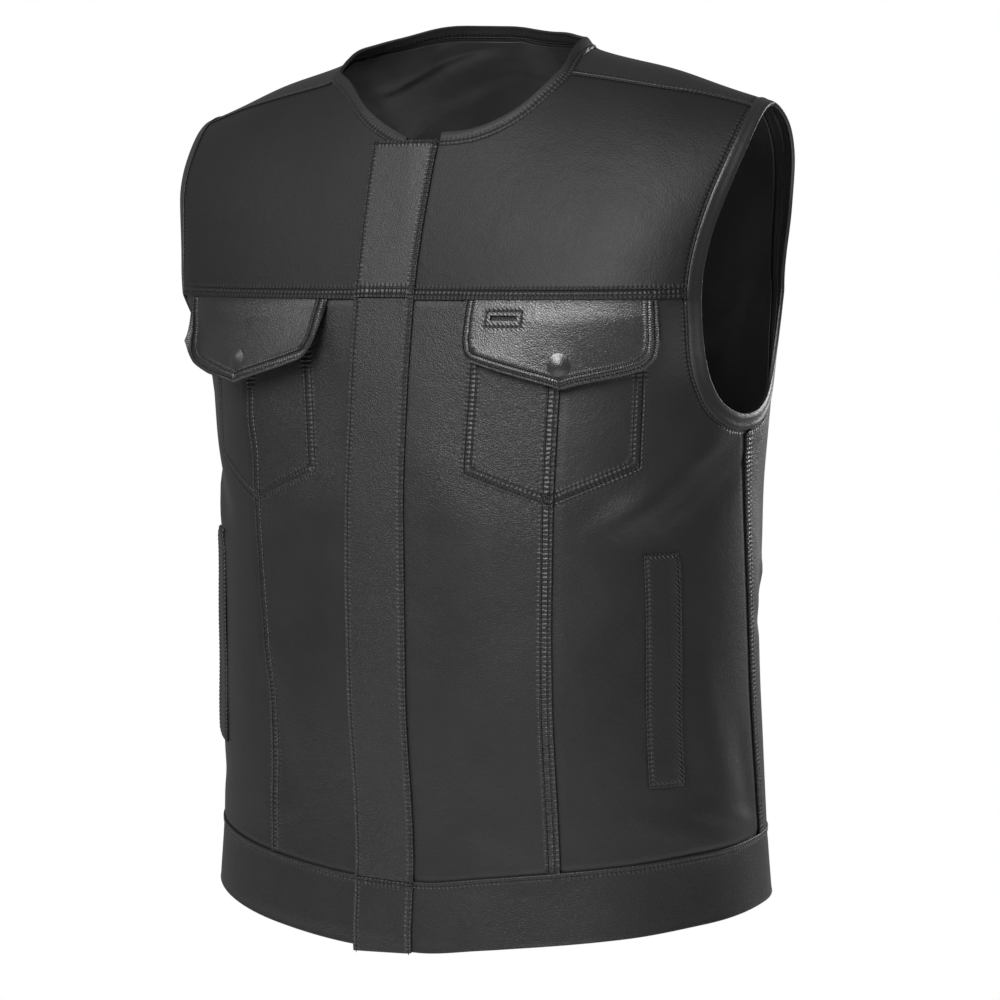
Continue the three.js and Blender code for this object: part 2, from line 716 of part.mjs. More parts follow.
// The waistband goes once round from the centre front, to the wearer's left, and ends where it began
function waistband() {
  const girth = halfGirth(WAISTBAND_HEIGHT / 2);
  const around = (round) => (round > girth ? round - 2 * girth : round);
  const map = (round, height) => bodyPoint(around(round), height);
  const place = (u, v) => {
    const start = FRONT_MEETING + SEAM_GAP / 2;
    const round = THREE.MathUtils.lerp(start, start + 2 * girth - SEAM_GAP, u);
    const hem = hemHeight(around(round));
    return withNormal(map, round, THREE.MathUtils.lerp(hem, hem + WAISTBAND_HEIGHT - SEAM_GAP / 2, v));
  };
  return clothWall({ name: 'waistband', columns: 60, rows: 2, inner: -WAISTBAND_THICKNESS, outer: 0, place });
}

// The raised strip down the wearer's left front, in its three lengths
function placketLength(name, rows, bottom, top) {
  const place = (u, v) => onFront(
    THREE.MathUtils.lerp(PLACKET.right, PLACKET.left, u),
    THREE.MathUtils.lerp(bottom, top, v),
  );
  const outer = OVERLAY_GAP + PLACKET.thickness;
  return clothWall({ name, columns: 3, rows, inner: OVERLAY_GAP, outer, place });
}

// The neckline seam from the placket's edge round the wearer's left side and the back to the right front
function neckSeam() {
  const leftFront = edgeCurve(neckline.left.slice(1).map((row) => [row.across, row.height]));
  const rightFront = edgeCurve(neckline.right.slice(1).map((row) => [row.across, row.height]));
  const onLeft = (part) => onFront(leftFront(part).x, leftFront(part).y).point;
  const onRight = (part) => onFront(-rightFront(1 - part).x, rightFront(1 - part).y).point;
  const behind = (part) => onBack(backCut.neck(1 - part).x, backCut.neck(1 - part).y).point;
  return joined(onLeft, behind, onRight);
}

// The band stands up from the neck seam, and its right end is set back to pass behind the placket
function neckband() {
  const seam = neckSeam();
  const place = (u, v) => {
    const base = seam(u);
    const along = seam(Math.min(u + 0.004, 1)).sub(seam(Math.max(u - 0.004, 0))).normalize();
    const inward = new THREE.Vector3(-base.x, NECK_CENTRE.y - base.y, 0).normalize();
    const frontness = smoothStep(Math.abs(inward.y));
    const end = base.y < NECK_CENTRE.y ? neckStand.front : neckStand.back;
    const stand = THREE.MathUtils.degToRad(THREE.MathUtils.lerp(neckStand.side, end, frontness));
    const rise = inward.multiplyScalar(Math.cos(stand)).setZ(Math.sin(stand));
    const normal = new THREE.Vector3().crossVectors(along, rise).normalize();
    const reach = THREE.MathUtils.lerp(CROSSING_GAP, NECKBAND_HEIGHT, v);
    return { point: base.addScaledVector(rise, reach), normal };
  };
  const outer = (u) => -NECKBAND_TUCK * smoothStep((u - 0.9) / 0.06);
  const inner = (u) => outer(u) - NECKBAND_THICKNESS;
  return clothWall({ name: 'neckband', columns: 44, rows: 2, inner, outer, place });
}

// The binding all round an armhole: up the front from the underarm, over the shoulder and down behind, with a
// column at each row of the panels beside it
function armholeBand(side, sign) {
  const spotOn = (seam, rim, part, v) => {
    const start = seam(part);
    const end = rim(part);
    const gap = SEAM_GAP / start.distanceTo(end);
    return start.lerp(end, THREE.MathUtils.lerp(gap, 1, v));
  };
  const lower = grid.armholeRows;
  const upper = lower + grid.yokeRows;
  const columns = upper + grid.backArmholeRows;
  const place = (u, v) => {
    const station = u * columns;
    if (station > upper) {
      const part = armholeBackPart((columns - station) / grid.backArmholeRows);
      const spot = spotOn(armholeBackSeam, armholeBackRim, part, v);
      return onBack(sign * spot.x, spot.y);
    }
    const part = station <= lower
      ? (armholeSidePart * station) / lower
      : THREE.MathUtils.lerp(armholeYokePart, 1, (station - lower) / grid.yokeRows);
    const spot = spotOn(armholeFrontSeam, armholeFrontRim, part, v);
    return onFront(sign * spot.x, spot.y);
  };
  return clothWall({
    name: `armhole_band_${side}`, columns, rows: 2, place, looped: true,
    inner: -BAND_THICKNESS.deep, outer: BAND_THICKNESS.proud,
  });
}

const flapBottom = tableCurve(flapEdge, 'across', 'height');
function flapPlace(sign) {
  const first = flapEdge[0].across;
  const last = flapEdge[flapEdge.length - 1].across;
  return (u, v) => {
    const across = THREE.MathUtils.lerp(first, last, u);
    return onFront(sign * across, THREE.MathUtils.lerp(YOKE_HEIGHT - 2 * SEAM_GAP, flapBottom(across), v));
  };
}

function flapOffset(side) {
  return (u, v) => 2 * OVERLAY_GAP + flapLift[side] * v ** 1.4;
}

function flap(side, sign) {
  const offset = flapOffset(side);
  const outer = (u, v) => offset(u, v) + FLAP_THICKNESS;
  return clothWall({ name: `flap_${side}`, columns: 16, rows: 5, inner: offset, outer, place: flapPlace(sign) });
}

// A low round cap on the flap, turned to face straight out of it
function snapCap(side, sign) {
  const place = flapPlace(sign);
  const offset = flapOffset(side);
  const onFlap = (u, v) => {
    const { point, normal } = place(u, v);
    return point.addScaledVector(normal, offset(u, v) + FLAP_THICKNESS);
  };
  const first = flapEdge[0].across;
  const u = (snap.across - first) / (flapEdge[flapEdge.length - 1].across - first);
  const top = YOKE_HEIGHT - 2 * SEAM_GAP;
  const v = (top - snap.height) / (top - flapBottom(snap.across));
  const right = onFlap(u + 0.03, v).sub(onFlap(u - 0.03, v));
  const down = onFlap(u, v + 0.06).sub(onFlap(u, v - 0.06));
  const out = new THREE.Vector3().crossVectors(right, down).multiplyScalar(-sign).normalize();
  const steps = 5;
  const profile = [new THREE.Vector2(0, 0)];
  for (let i = 0; i <= steps; i += 1) {
    const turn = (Math.PI / 2) * (i / steps);
    profile.push(new THREE.Vector2(snap.radius * Math.cos(turn), snap.rise * Math.sin(turn)));
  }
  profile[profile.length - 1].x = 0;
  const geometry = new THREE.LatheGeometry(profile, 20);
  const mesh = namedMesh(`snap_${side}`, geometry, leather);
  mesh.quaternion.setFromUnitVectors(new THREE.Vector3(0, 1, 0), out);
  mesh.position.copy(onFlap(u, v).addScaledVector(out, 1.5 * OVERLAY_GAP));
  return mesh;
}

// The pocket bag lies behind the fronts and is stitched through them along its outline
function pocket(side, sign) {
  const place = (u, v) => {
    const across = THREE.MathUtils.lerp(pocketBag.inner, pocketBag.outer, u);
    const half = across < pocketBag.pointAcross ? pocketBag.inner : pocketBag.outer;
    const part = (across - half) / (pocketBag.pointAcross - half);
    const bottom = THREE.MathUtils.lerp(pocketBag.side, pocketBag.point, part);
    return onFront(sign * across, THREE.MathUtils.lerp(bottom, pocketBag.top, v));
  };
  const outer = -LEATHER - CROSSING_GAP;
  return clothWall({
    name: `pocket_${side}`, columns: 10, rows: 7, inner: outer - BAG_THICKNESS, outer, place, material: lining,
  });
}

function pocketWelt(side, sign) {
  const place = (u, v) => onFront(
    sign * THREE.MathUtils.lerp(welt.inner, welt.outer, u),
    THREE.MathUtils.lerp(welt.bottom, welt.top, v),
  );
  const outer = CROSSING_GAP + welt.thickness;
  return clothWall({ name: `welt_${side}`, columns: 3, rows: 12, inner: CROSSING_GAP, outer, place });
}

const vest = new THREE.Group();
vest.add(back(), backLining(), waistband(), neckband());
vest.add(placketLength('placket_top', 7, YOKE_HEIGHT + SEAM_GAP / 2, PLACKET.top));
vest.add(placketLength('placket_front', 16, PLACKET.waist + SEAM_GAP / 2, YOKE_HEIGHT - SEAM_GAP / 2));
vest.add(placketLength('placket_band', 2, PLACKET.hem, PLACKET.waist - SEAM_GAP / 2));
for (const [side, sign] of [['left', 1], ['right', -1]]) {
  vest.add(frontYoke(side, sign), frontCentre(side, sign), frontSide(side, sign));
  vest.add(armholeBand(side, sign), flap(side, sign), snapCap(side, sign));
  vest.add(pocket(side, sign), pocketWelt(side, sign));
}
vest.position.set(0, -NECK_CENTRE.y, -NECK_CENTRE.height);

export default vest;
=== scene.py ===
import math

import bmesh
import bpy
import numpy as np
from mathutils import Matrix, Vector
from mathutils.bvhtree import BVHTree
from mathutils.kdtree import KDTree


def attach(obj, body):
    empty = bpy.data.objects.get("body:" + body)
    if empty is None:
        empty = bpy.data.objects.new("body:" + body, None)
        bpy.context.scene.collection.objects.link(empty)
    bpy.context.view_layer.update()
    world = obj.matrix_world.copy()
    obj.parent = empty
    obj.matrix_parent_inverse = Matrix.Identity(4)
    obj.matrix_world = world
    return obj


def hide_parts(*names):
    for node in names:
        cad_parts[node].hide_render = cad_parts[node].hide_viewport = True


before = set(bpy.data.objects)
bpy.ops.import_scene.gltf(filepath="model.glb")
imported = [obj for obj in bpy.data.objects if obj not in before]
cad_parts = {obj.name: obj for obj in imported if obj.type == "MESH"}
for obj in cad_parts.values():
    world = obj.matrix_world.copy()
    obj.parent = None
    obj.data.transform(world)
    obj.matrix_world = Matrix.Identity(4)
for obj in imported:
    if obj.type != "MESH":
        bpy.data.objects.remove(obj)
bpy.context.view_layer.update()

# The back: one plain piece of 2 mm black cowhide with no seam down its middle. It comes over the shoulders to
# the forward seams and is filled out as on a wearer, with soft folds where it hangs from the shoulder blades.
# The whole vest is cut on one worn form, so the form is described here, in millimetres from the side hem's
# level, and each later piece is laid on it.
YOKE_SEAM = 459.0
NECK_POINT = 638.0
ORIGIN = np.array([0.0, -20.0, NECK_POINT])


def read_table(keys, values):
    """A smooth curve through a table's rows that never swings past them"""
    keys, values = np.array(keys, float), np.array(values, float)
    slopes = np.diff(values) / np.diff(keys)
    before, after = slopes[:-1], slopes[1:]
    agree = before * after > 0
    middle = np.where(agree, 2 * before * after / np.where(agree, before + after, 1), 0)
    tangents = np.concatenate([slopes[:1], middle, slopes[-1:]])

    def read(at):
        at = np.clip(at, keys[0], keys[-1])
        i = np.clip(np.searchsorted(keys, at) - 1, 0, len(keys) - 2)
        span = keys[i + 1] - keys[i]
        t = (at - keys[i]) / span
        return ((2 * t**3 - 3 * t**2 + 1) * values[i] + (t**3 - 2 * t**2 + t) * span * tangents[i]
                + (3 * t**2 - 2 * t**3) * values[i + 1] + (t**3 - t**2) * span * tangents[i + 1])

    return read


# The shoulder arch, in front and behind: depth and squareness where it starts at the yoke seam, how fast it
# rises and how full it is, and how far the neck is raised and set back from the shoulder line
YOKE_HALF_WIDTH = 239
CHEST = {"depth": 131, "squareness": 3.0, "rise": 1.1, "fullness": 0.5, "neck_rise": 11, "neck_y": 0}
BLADES = {"depth": 121, "squareness": 2.3, "rise": 2.0, "fullness": 0.7, "neck_rise": 40, "neck_y": 16}

# Level rings of the worn form: height, half width, depth to the front, depth to the back, squareness in front
rings = np.array([
    (0, 225, 152, 116, 2.35),
    (60, 221, 146, 113, 2.35),
    (180, 217, 153, 113, 2.25),
    (300, 219, 152, 118, 2.2),
    (390, 226, 143, 122, 2.2),
    (YOKE_SEAM, YOKE_HALF_WIDTH, CHEST["depth"], BLADES["depth"], CHEST["squareness"]),
])
ring_half_width, ring_front, ring_back, ring_squareness = (
    read_table(rings[:, 0], column) for column in rings[:, 1:].T)


def ring_point(angle, height):
    level = np.clip(height, 0, YOKE_SEAM)
    sine, cosine = np.sin(angle), np.cos(angle)
    depth = np.where(cosine > 0, ring_front(level), ring_back(level))
    power = np.where(cosine > 0, ring_squareness(level), BLADES["squareness"])
    reach = (np.abs(sine / ring_half_width(level)) ** power + np.abs(cosine / depth) ** power) ** (-1 / power)
    return reach * sine, -reach * cosine


# Length round each ring, so that leather laid on the form keeps its width
levels = np.arange(0, int(YOKE_SEAM) + 1)
turns = np.linspace(0, math.pi, 241)
ring_x, ring_y = ring_point(turns[None, :], levels[:, None].astype(float))
ring_steps = np.hypot(np.diff(ring_x, axis=1), np.diff(ring_y, axis=1))
ring_runs = np.concatenate([np.zeros((len(levels), 1)), np.cumsum(ring_steps, axis=1)], axis=1)
SHARES = 360
even_shares = np.linspace(0, 1, SHARES + 1)
angle_table = np.array([np.interp(even_shares, run / run[-1], turns) for run in ring_runs])


def half_girth(height):
    return np.interp(height, levels, ring_runs[:, -1])


def angle_at(across, height):
    """Angle round the form of leather that lies so far across from the middle of the front"""
    level = np.clip(height, 0, YOKE_SEAM)
    low = np.minimum(level.astype(int), len(levels) - 2)
    part = level - low
    share = np.clip(np.abs(across) / half_girth(level), 0, 1) * SHARES
    column = np.minimum(share.astype(int), SHARES - 1)
    beyond = share - column
    lower, upper = (angle_table[low + i, column] * (1 - beyond) + angle_table[low + i, column + 1] * beyond
                    for i in (0, 1))
    return np.sign(across) * (lower * (1 - part) + upper * part)


# Folds: angle and height where each starts, angle and height where it ends, width of the soft ridge or
# trough, and depth. The large ones come first, and the smaller drag lines between them after those.
MM_PER_DEGREE = 3.2
folds = np.array([
    (78, 358, 55, 298, 13, 3.2),
    (83, 338, 60, 268, 16, -2.6),
    (72, 205, 80, 82, 15, 2.2),
    (96, 330, 104, 150, 15, -2.8),
    (104, 300, 116, 96, 14, 2.8),
    (-52, 428, -46, 352, 40, 3.7),
    (-80, 352, -58, 288, 14, -3.4),
    (-76, 262, -70, 120, 15, 2.4),
    (-42, 186, -36, 92, 20, -3),
    (-98, 322, -108, 130, 15, 3),
    (-112, 286, -120, 88, 14, -2.6),
    (126, 402, 146, 262, 19, -4),
    (138, 384, 162, 214, 20, 3.6),
    (-124, 388, -148, 244, 19, 4),
    (-139, 362, -163, 190, 21, -3.6),
    (168, 176, 138, 116, 18, -3.2),
    (-148, 104, -176, 142, 18, 3.4),
    (174, 520, 172, 330, 24, -2.8),
    (-82, 580, -78, 450, 30, 6),
    (-66, 562, -64, 448, 24, 5.5),
    (88, 364, 70, 330, 8, -1.3),
    (64, 318, 50, 290, 9, 1.2),
    (84, 150, 88, 70, 9, -1.1),
    (-86, 340, -70, 300, 9, 1.3),
    (-90, 180, -86, 70, 10, -1.2),
    (118, 340, 130, 250, 10, 1.2),
    (112, 150, 122, 66, 10, 1.2),
    (150, 300, 168, 240, 12, -1.4),
    (-132, 300, -144, 200, 11, 1.4),
    (-158, 236, -172, 190, 12, -1.3),
    (-128, 150, -138, 70, 11, -1.3),
    (156, 120, 170, 66, 12, 1.2),
    (58, 92, 84, 60, 10, 0.9),
    (-60, 96, -92, 62, 11, -1.0),
    (22, 86, 44, 58, 12, 0.8),
    (12, 330, 16, 190, 26, -1.4),
    (-20, 300, -16, 130, 24, 1.2),
    (30, 150, 34, 70, 20, 1.3),
    (122, 418, 150, 330, 7, -2.0),
    (131, 424, 152, 352, 6, 1.8),
    (-120, 412, -146, 322, 7, -2.0),
    (-129, 420, -150, 346, 6, 1.7),
    (140, 216, 176, 236, 7, -1.9),
    (148, 196, 172, 208, 6, 1.5),
    (-138, 226, -174, 204, 7, -1.8),
    (-142, 176, -170, 164, 7, 1.6),
    (132, 128, 150, 64, 7, 1.6),
    (160, 110, 166, 62, 7, -1.4),
    (-118, 118, -110, 62, 7, 1.5),
    (-150, 96, -162, 62, 7, -1.4),
    (98, 262, 122, 214, 7, 1.6),
    (92, 226, 112, 188, 7, -1.3),
    (-94, 268, -118, 226, 7, 1.5),
    (-88, 150, -112, 112, 7, -1.3),
    (76, 322, 64, 296, 5, 1.0),
    (90, 352, 78, 318, 5, -1.0),
    (70, 96, 90, 72, 6, 0.9),
    (-70, 300, -60, 268, 6, 1.1),
])


def smooth_step(value):
    t = np.clip(value, 0, 1)
    return t * t * (3 - 2 * t)


def soft_ridge(off_x, off_z, run_x, run_z, width, depth):
    """Height of a ridge, or of a trough, at offsets from its start. It fades out just past its two ends."""
    length = math.hypot(run_x, run_z)
    along = (off_x * run_x + off_z * run_z) / length**2
    beside = (off_x * run_z - off_z * run_x) / length
    taper = smooth_step(2.2 * along + 0.4) * smooth_step(2.2 * (1 - along) + 0.4)
    return depth * np.exp(-((beside / width) ** 2)) * taper


def fold_lift(angle, height):
    lift = np.zeros(np.broadcast(angle, height).shape)
    for start, low, end, high, width, depth in folds:
        lift += soft_ridge((angle - start) * MM_PER_DEGREE, height - low,
                           (end - start) * MM_PER_DEGREE, high - low, width, depth)
    return lift


def pushed_out(x, y, height, angle):
    """A point of the form with the folds raised on it"""
    lift = fold_lift(np.degrees(angle), height) / np.maximum(np.hypot(x, y), 1)
    return np.stack([x * (1 + lift), y * (1 + lift), height], axis=-1)


def body_point(across, height):
    angle = angle_at(across, height)
    return pushed_out(*ring_point(angle, height), height, angle)


# The shoulder line: half the neck's width at its points, slope, where the line lies from front to back, and
# the soft crown half way along it. The neck rises in a bell between the points, a little more on the right.
# The arch widens above the yoke seam. The back's form takes over just behind the line, and on the flat the
# back climbs 300 mm from the yoke seam to the line.
SHOULDER = {"neck": 94, "slope": 44 / 145, "y": -8, "crown_at": 165, "crown_width": 34, "crown": 2.6}
NECK_BELL, NECK_LEAN = 117.5, 260
SHOULDER_SPREAD, SPREAD_OVER = 0.125, 135
SHOULDER_CLIMB = 300
BEHIND_BY, JUST_BEHIND = 0.16, -1e-4


def shoulder_ridge(x, behind):
    """Height of the shoulder line, and its place from front to back, by how far behind the line they count"""
    neck_rise, neck_y = (CHEST[key] + (BLADES[key] - CHEST[key]) * behind for key in ("neck_rise", "neck_y"))
    bell = np.maximum(1 - (x / NECK_BELL) ** 2, 0) ** 2
    from_crown = (np.abs(x) - SHOULDER["crown_at"]) / SHOULDER["crown_width"]
    crown = SHOULDER["crown"] * np.exp(-(from_crown**2))
    slope = NECK_POINT - SHOULDER["slope"] * (np.abs(x) - SHOULDER["neck"])
    return slope + crown + neck_rise * bell * (1 - x / NECK_LEAN), neck_y * bell + SHOULDER["y"]


def shoulder_widening(height):
    return 1 + SHOULDER_SPREAD * smooth_step((height - YOKE_SEAM) / SPREAD_OVER)


def shoulder_point(x, over):
    """A point above the yoke seam: over is 1 on the chest, 0 on the shoulder line and -1 behind"""
    front = over > 0
    top, top_y = shoulder_ridge(x, smooth_step(-over / BEHIND_BY))
    part = np.clip(1 - over**2, 0, 1)
    height = YOKE_SEAM + (top - YOKE_SEAM) * part
    power, rise, fullness = (np.where(front, CHEST[key], BLADES[key])
                             for key in ("squareness", "rise", "fullness"))
    depth = np.where(front, -CHEST["depth"], BLADES["depth"])
    level_x = x / shoulder_widening(height)
    level_y = depth * np.maximum(1 - np.abs(level_x / YOKE_HALF_WIDTH) ** power, 0) ** (1 / power)
    y = top_y + (level_y - top_y) * (1 - part**rise) ** fullness
    return pushed_out(x, y, height, np.arctan2(level_x, -level_y))


def front_point(across, height):
    """The front by distance from its middle and by height, up to the shoulder line"""
    angle = angle_at(across, np.full_like(height, YOKE_SEAM))
    x = ring_point(angle, YOKE_SEAM)[0] * shoulder_widening(height)
    rise = (height - YOKE_SEAM) / (shoulder_ridge(x, 0)[0] - YOKE_SEAM)
    upper = shoulder_point(x, np.sqrt(np.clip(1 - rise, 1e-6, 1)))
    lower = body_point(across, np.minimum(height, YOKE_SEAM))
    return np.where((height <= YOKE_SEAM)[..., None], lower, upper)


def back_point(across, climb):
    """The back by distance from its middle and by climb: the height, then on up and over the shoulder line"""
    girth = half_girth(climb)
    side = np.where(across >= 0, 1, -1)
    lower = body_point(side * (girth - np.abs(across)), np.minimum(climb, YOKE_SEAM))
    over = (climb - YOKE_SEAM) / SHOULDER_CLIMB - 1
    angle = angle_at(girth - np.abs(across), np.full_like(climb, YOKE_SEAM))
    level_x = side * np.abs(ring_point(angle, YOKE_SEAM)[0])
    height = YOKE_SEAM + (shoulder_ridge(level_x, 1)[0] - YOKE_SEAM) * (1 - over**2)
    upper = shoulder_point(level_x * shoulder_widening(height), np.where(over == 0, JUST_BEHIND, over))
    return np.where((climb <= YOKE_SEAM)[..., None], lower, upper)


def on_form(surface, facing, across, height):
    """Points of the form and the directions straight out of it"""
    step = 0.4
    right = surface(across + step, height) - surface(across - step, height)
    up = surface(across, height + step) - surface(across, height - step)
    normal = np.cross(right, up) * facing
    normal /= np.maximum(np.linalg.norm(normal, axis=-1, keepdims=True), 1e-9)
    return surface(across, height), normal


def on_front(across, height):
    return on_form(front_point, 1, across, height)


def on_back(across, climb):
    return on_form(back_point, -1, across, climb)


def smooth_line(points):
    """A dense smooth line through points of a cut edge"""
    points = np.array(points, float)
    padded = np.vstack([points[:1], points, points[-1:]])
    t = np.linspace(0, 1, 13)[:-1, None]
    runs = []
    for p0, p1, p2, p3 in zip(padded, padded[1:], padded[2:], padded[3:]):
        v0, v1 = (p2 - p0) / 2, (p3 - p1) / 2
        runs.append((2 * p1 - 2 * p2 + v0 + v1) * t**3 + (3 * p2 - 3 * p1 - 2 * v0 - v1) * t**2
                    + v0 * t + p1)
    return np.vstack([*runs, points[-1:]])


def run_of(line):
    """Length of a line up to each of its points"""
    return np.concatenate([[0], np.cumsum(np.linalg.norm(np.diff(line, axis=0), axis=1))])


def paced(line, pace=None):
    """Reads a line by its share of the length, or by the share of a rising pace"""
    if pace is None:
        pace = run_of(line)
    pace = (pace - pace[0]) / (pace[-1] - pace[0])
    return lambda part: np.stack([np.interp(part, pace, column) for column in line.T], axis=-1)


def followed_by(share, first, second):
    """Two edges end to end, the first taking its share of the rows"""
    def read(part):
        low = first(np.clip(part / share, 0, 1))
        high = second(np.clip((part - share) / (1 - share), 0, 1))
        return np.where((part < share)[..., None], low, high)
    return read


def cut_between(inner, outer, bottom, top, fading=1.0):
    """A piece of leather cut between four edges. The shape of the top edge fades out downwards."""
    ends = np.array([0.0, 1.0])
    low, high = bottom(ends), top(ends)

    def place(u, v):
        share = v[:, None] ** fading
        u1 = u[:, None]
        bow = bottom(u) - low[0] * (1 - u1) - low[1] * u1
        dip = top(u) - high[0] * (1 - u1) - high[1] * u1
        return inner(v) * (1 - u1) + outer(v) * u1 + bow * (1 - share) + dip * share

    return place


# Edges of the cut, by distance across and height
hem_height = read_table(
    (-575, -300, -200, -110, -30, 20, 70, 115, 175, 235, 300, 575),
    (9, 3, -3, -9, -13, -12, -5, 1, 7, 11, 11, 9))
side_seam = read_table((0, 100, 200, 290, 362), (309, 305, 298, 289, 283))
UNDERARM = (284.0, 361.5)
BAND_DEPTH = 50
BACK_LAP = 2


def waist_height(across):
    return hem_height(across) + BAND_DEPTH


def back_spot(x, over):
    """Where on the flat back a point lies that is x from the middle line, found by halving"""
    widest, halvings = 296.0, 40
    climb = YOKE_SEAM + SHOULDER_CLIMB * (1 + over)
    low, high = np.zeros_like(x), np.full_like(x, widest)
    for _ in range(halvings):
        middle = (low + high) / 2
        short = back_point(middle, climb)[..., 0] < np.abs(x)
        low, high = np.where(short, middle, low), np.where(short, high, middle)
    return np.stack([np.sign(x) * low, climb], axis=-1)


def over_shoulder(spots):
    """Places on the front yoke's seam as the back reaches them over the shoulder line"""
    x = front_point(spots[:, 0], spots[:, 1])[:, 0]
    over = np.sqrt(1 - (spots[:, 1] - YOKE_SEAM) / (shoulder_ridge(x, 0)[0] - YOKE_SEAM))
    return back_spot(x, over)


shoulder_seam = smooth_line([(91, 616), (121, 610.3), (149.5, 604.5), (177.5, 599.2), (213, 590)])
shoulder_behind = over_shoulder(shoulder_seam)

# Behind the shoulders, places are given by distance from the middle line and by how far over they lie, as
# shoulder_point takes them
neck_behind = np.array([(102, 0.32), (100, 0.05), (95, -0.12), (80, -0.24), (60, -0.33), (36, -0.415),
                        (16, -0.455), (0, -0.47)])
neck_half = np.vstack([shoulder_behind[:1], back_spot(neck_behind[:, 0], neck_behind[:, 1])])
neck_line_behind = smooth_line(np.vstack([neck_half[:-1] * (-1, 1), neck_half[::-1]]))


def armhole_behind(at_underarm, rows, over_rows, at_tip):
    """An armhole edge on the back, from the underarm up and over the shoulder to the front's edge"""
    over_rows = np.array(over_rows)
    start = [half_girth(at_underarm[1]) - at_underarm[0], at_underarm[1]]
    tip = over_shoulder(np.array([at_tip]))
    return smooth_line(np.vstack([start, rows, back_spot(over_rows[:, 0], over_rows[:, 1]), tip]))


armhole_seam_behind = armhole_behind(
    UNDERARM, [(277, 365), (260, 376), (246, 394), (236, 420), (231, 450)],
    [(217, -0.84), (223, -0.68), (230, -0.5), (233, -0.32), (232, -0.15), (230.5, 0)], (213.0, 590.0))
armhole_rim_behind = armhole_behind(
    (284.0, 373.0), [(283, 375.5), (268, 384), (256, 400), (247, 424), (242, 452)],
    [(228, -0.84), (234, -0.68), (241, -0.5), (244, -0.32), (243, -0.15), (241.5, 0)], (224.0, 589.0))
side_behind = np.array([[half_girth(h) - side_seam(h), h]
                        for h in np.linspace(BAND_DEPTH, UNDERARM[1], 60)])


def mirrored(line):
    return line * (-1, 1)


def back_base(across):
    """The back's lower edge, which ends under the waistband"""
    return waist_height(np.where(across < 0, -1, 1) * (half_girth(BAND_DEPTH) - np.abs(across))) - BACK_LAP


# The rows of the back climb its armhole edge by height, with a little added so that they part where the edge
# runs level. Its sides and its top are each made of several seams, which take these shares of the rows.
armhole_climb = armhole_seam_behind[:, 1]
climbed = np.clip((armhole_climb - armhole_climb[0]) / np.ptp(armhole_climb), 0, 1)
armhole_pace = np.maximum.accumulate(climbed) ** 0.85 + np.linspace(0, 0.02, len(climbed))
SIDE_SHARE, SHOULDER_SHARE, NECK_SHARE = 0.4, 0.26, 0.48
side_lines = {}
for side, sign in (("left", 1), ("right", -1)):
    low = side_behind * (sign, 1)
    low[:, 1] = np.linspace(back_base(low[0, 0]), UNDERARM[1], len(low))
    side_lines[side] = followed_by(
        SIDE_SHARE, paced(low), paced(armhole_seam_behind * (sign, 1), armhole_pace))
back_width = side_behind[0, 0]
back_bottom = paced(np.array([(x, back_base(x)) for x in np.linspace(-back_width, back_width, 121)]))
back_top = followed_by(
    SHOULDER_SHARE, paced(mirrored(shoulder_behind)[::-1]),
    followed_by(NECK_SHARE / (1 - SHOULDER_SHARE), paced(neck_line_behind), paced(shoulder_behind)))
back_cut = cut_between(side_lines["right"], side_lines["left"], back_bottom, back_top, fading=2)


class Shade:
    """A socket of a material, whose sums and products add Math nodes"""

    def __init__(self, tree, socket=None):
        self.tree, self.socket = tree, socket

    def node(self, kind, settings=(), inputs=(), output=0):
        """Any other node: its type, its settings, and the values or links of its sockets by name or number"""
        node = self.tree.nodes.new(kind)
        for key, value in dict(settings).items():
            setattr(node, key, value)
        for key, value in dict(inputs).items():
            if isinstance(value, Shade):
                self.tree.links.new(value.socket, node.inputs[key])
            else:
                node.inputs[key].default_value = value
        return Shade(self.tree, node.outputs[output])

    def math(self, operation, *others):
        return self.node("ShaderNodeMath", {"operation": operation}, enumerate((self, *others)))

    def __add__(self, other):
        return self.math("ADD", other)

    def __sub__(self, other):
        return self.math("SUBTRACT", other)

    def __mul__(self, other):
        return self.math("MULTIPLY", other)

    def __rsub__(self, other):
        return self * -1 + other

    __radd__, __rmul__ = __add__, __mul__

    def near(self, reach):
        """1 where the value is 0, falling softly to 0 at the reach"""
        return self.node("ShaderNodeMapRange", {"interpolation_type": "SMOOTHSTEP"},
                         {0: self.math("ABSOLUTE"), 1: 0.0, 2: reach, 3: 1.0, 4: 0.0})

    def mix(self, first, second):
        """Two colours mixed by this value"""
        return self.node("ShaderNodeMix", {"data_type": "RGBA"}, {0: self, 6: first, 7: second}, output=2)


def new_material(name):
    material = bpy.data.materials.new(name)
    material.use_nodes = True
    tree = material.node_tree
    return material, Shade(tree), tree.nodes["Principled BSDF"]


def finish(start, shader, tint, rough, bump_height, gloss):
    """Joins the worked out colour, roughness and bump in millimetres to the shader"""
    bump = start.node("ShaderNodeBump", (), {"Strength": 1.0, "Distance": 0.001, "Height": bump_height})
    for value, socket in ((tint, "Base Color"), (rough, "Roughness"), (bump, "Normal")):
        start.tree.links.new(value.socket, shader.inputs[socket])
    shader.inputs["Specular IOR Level"].default_value = gloss


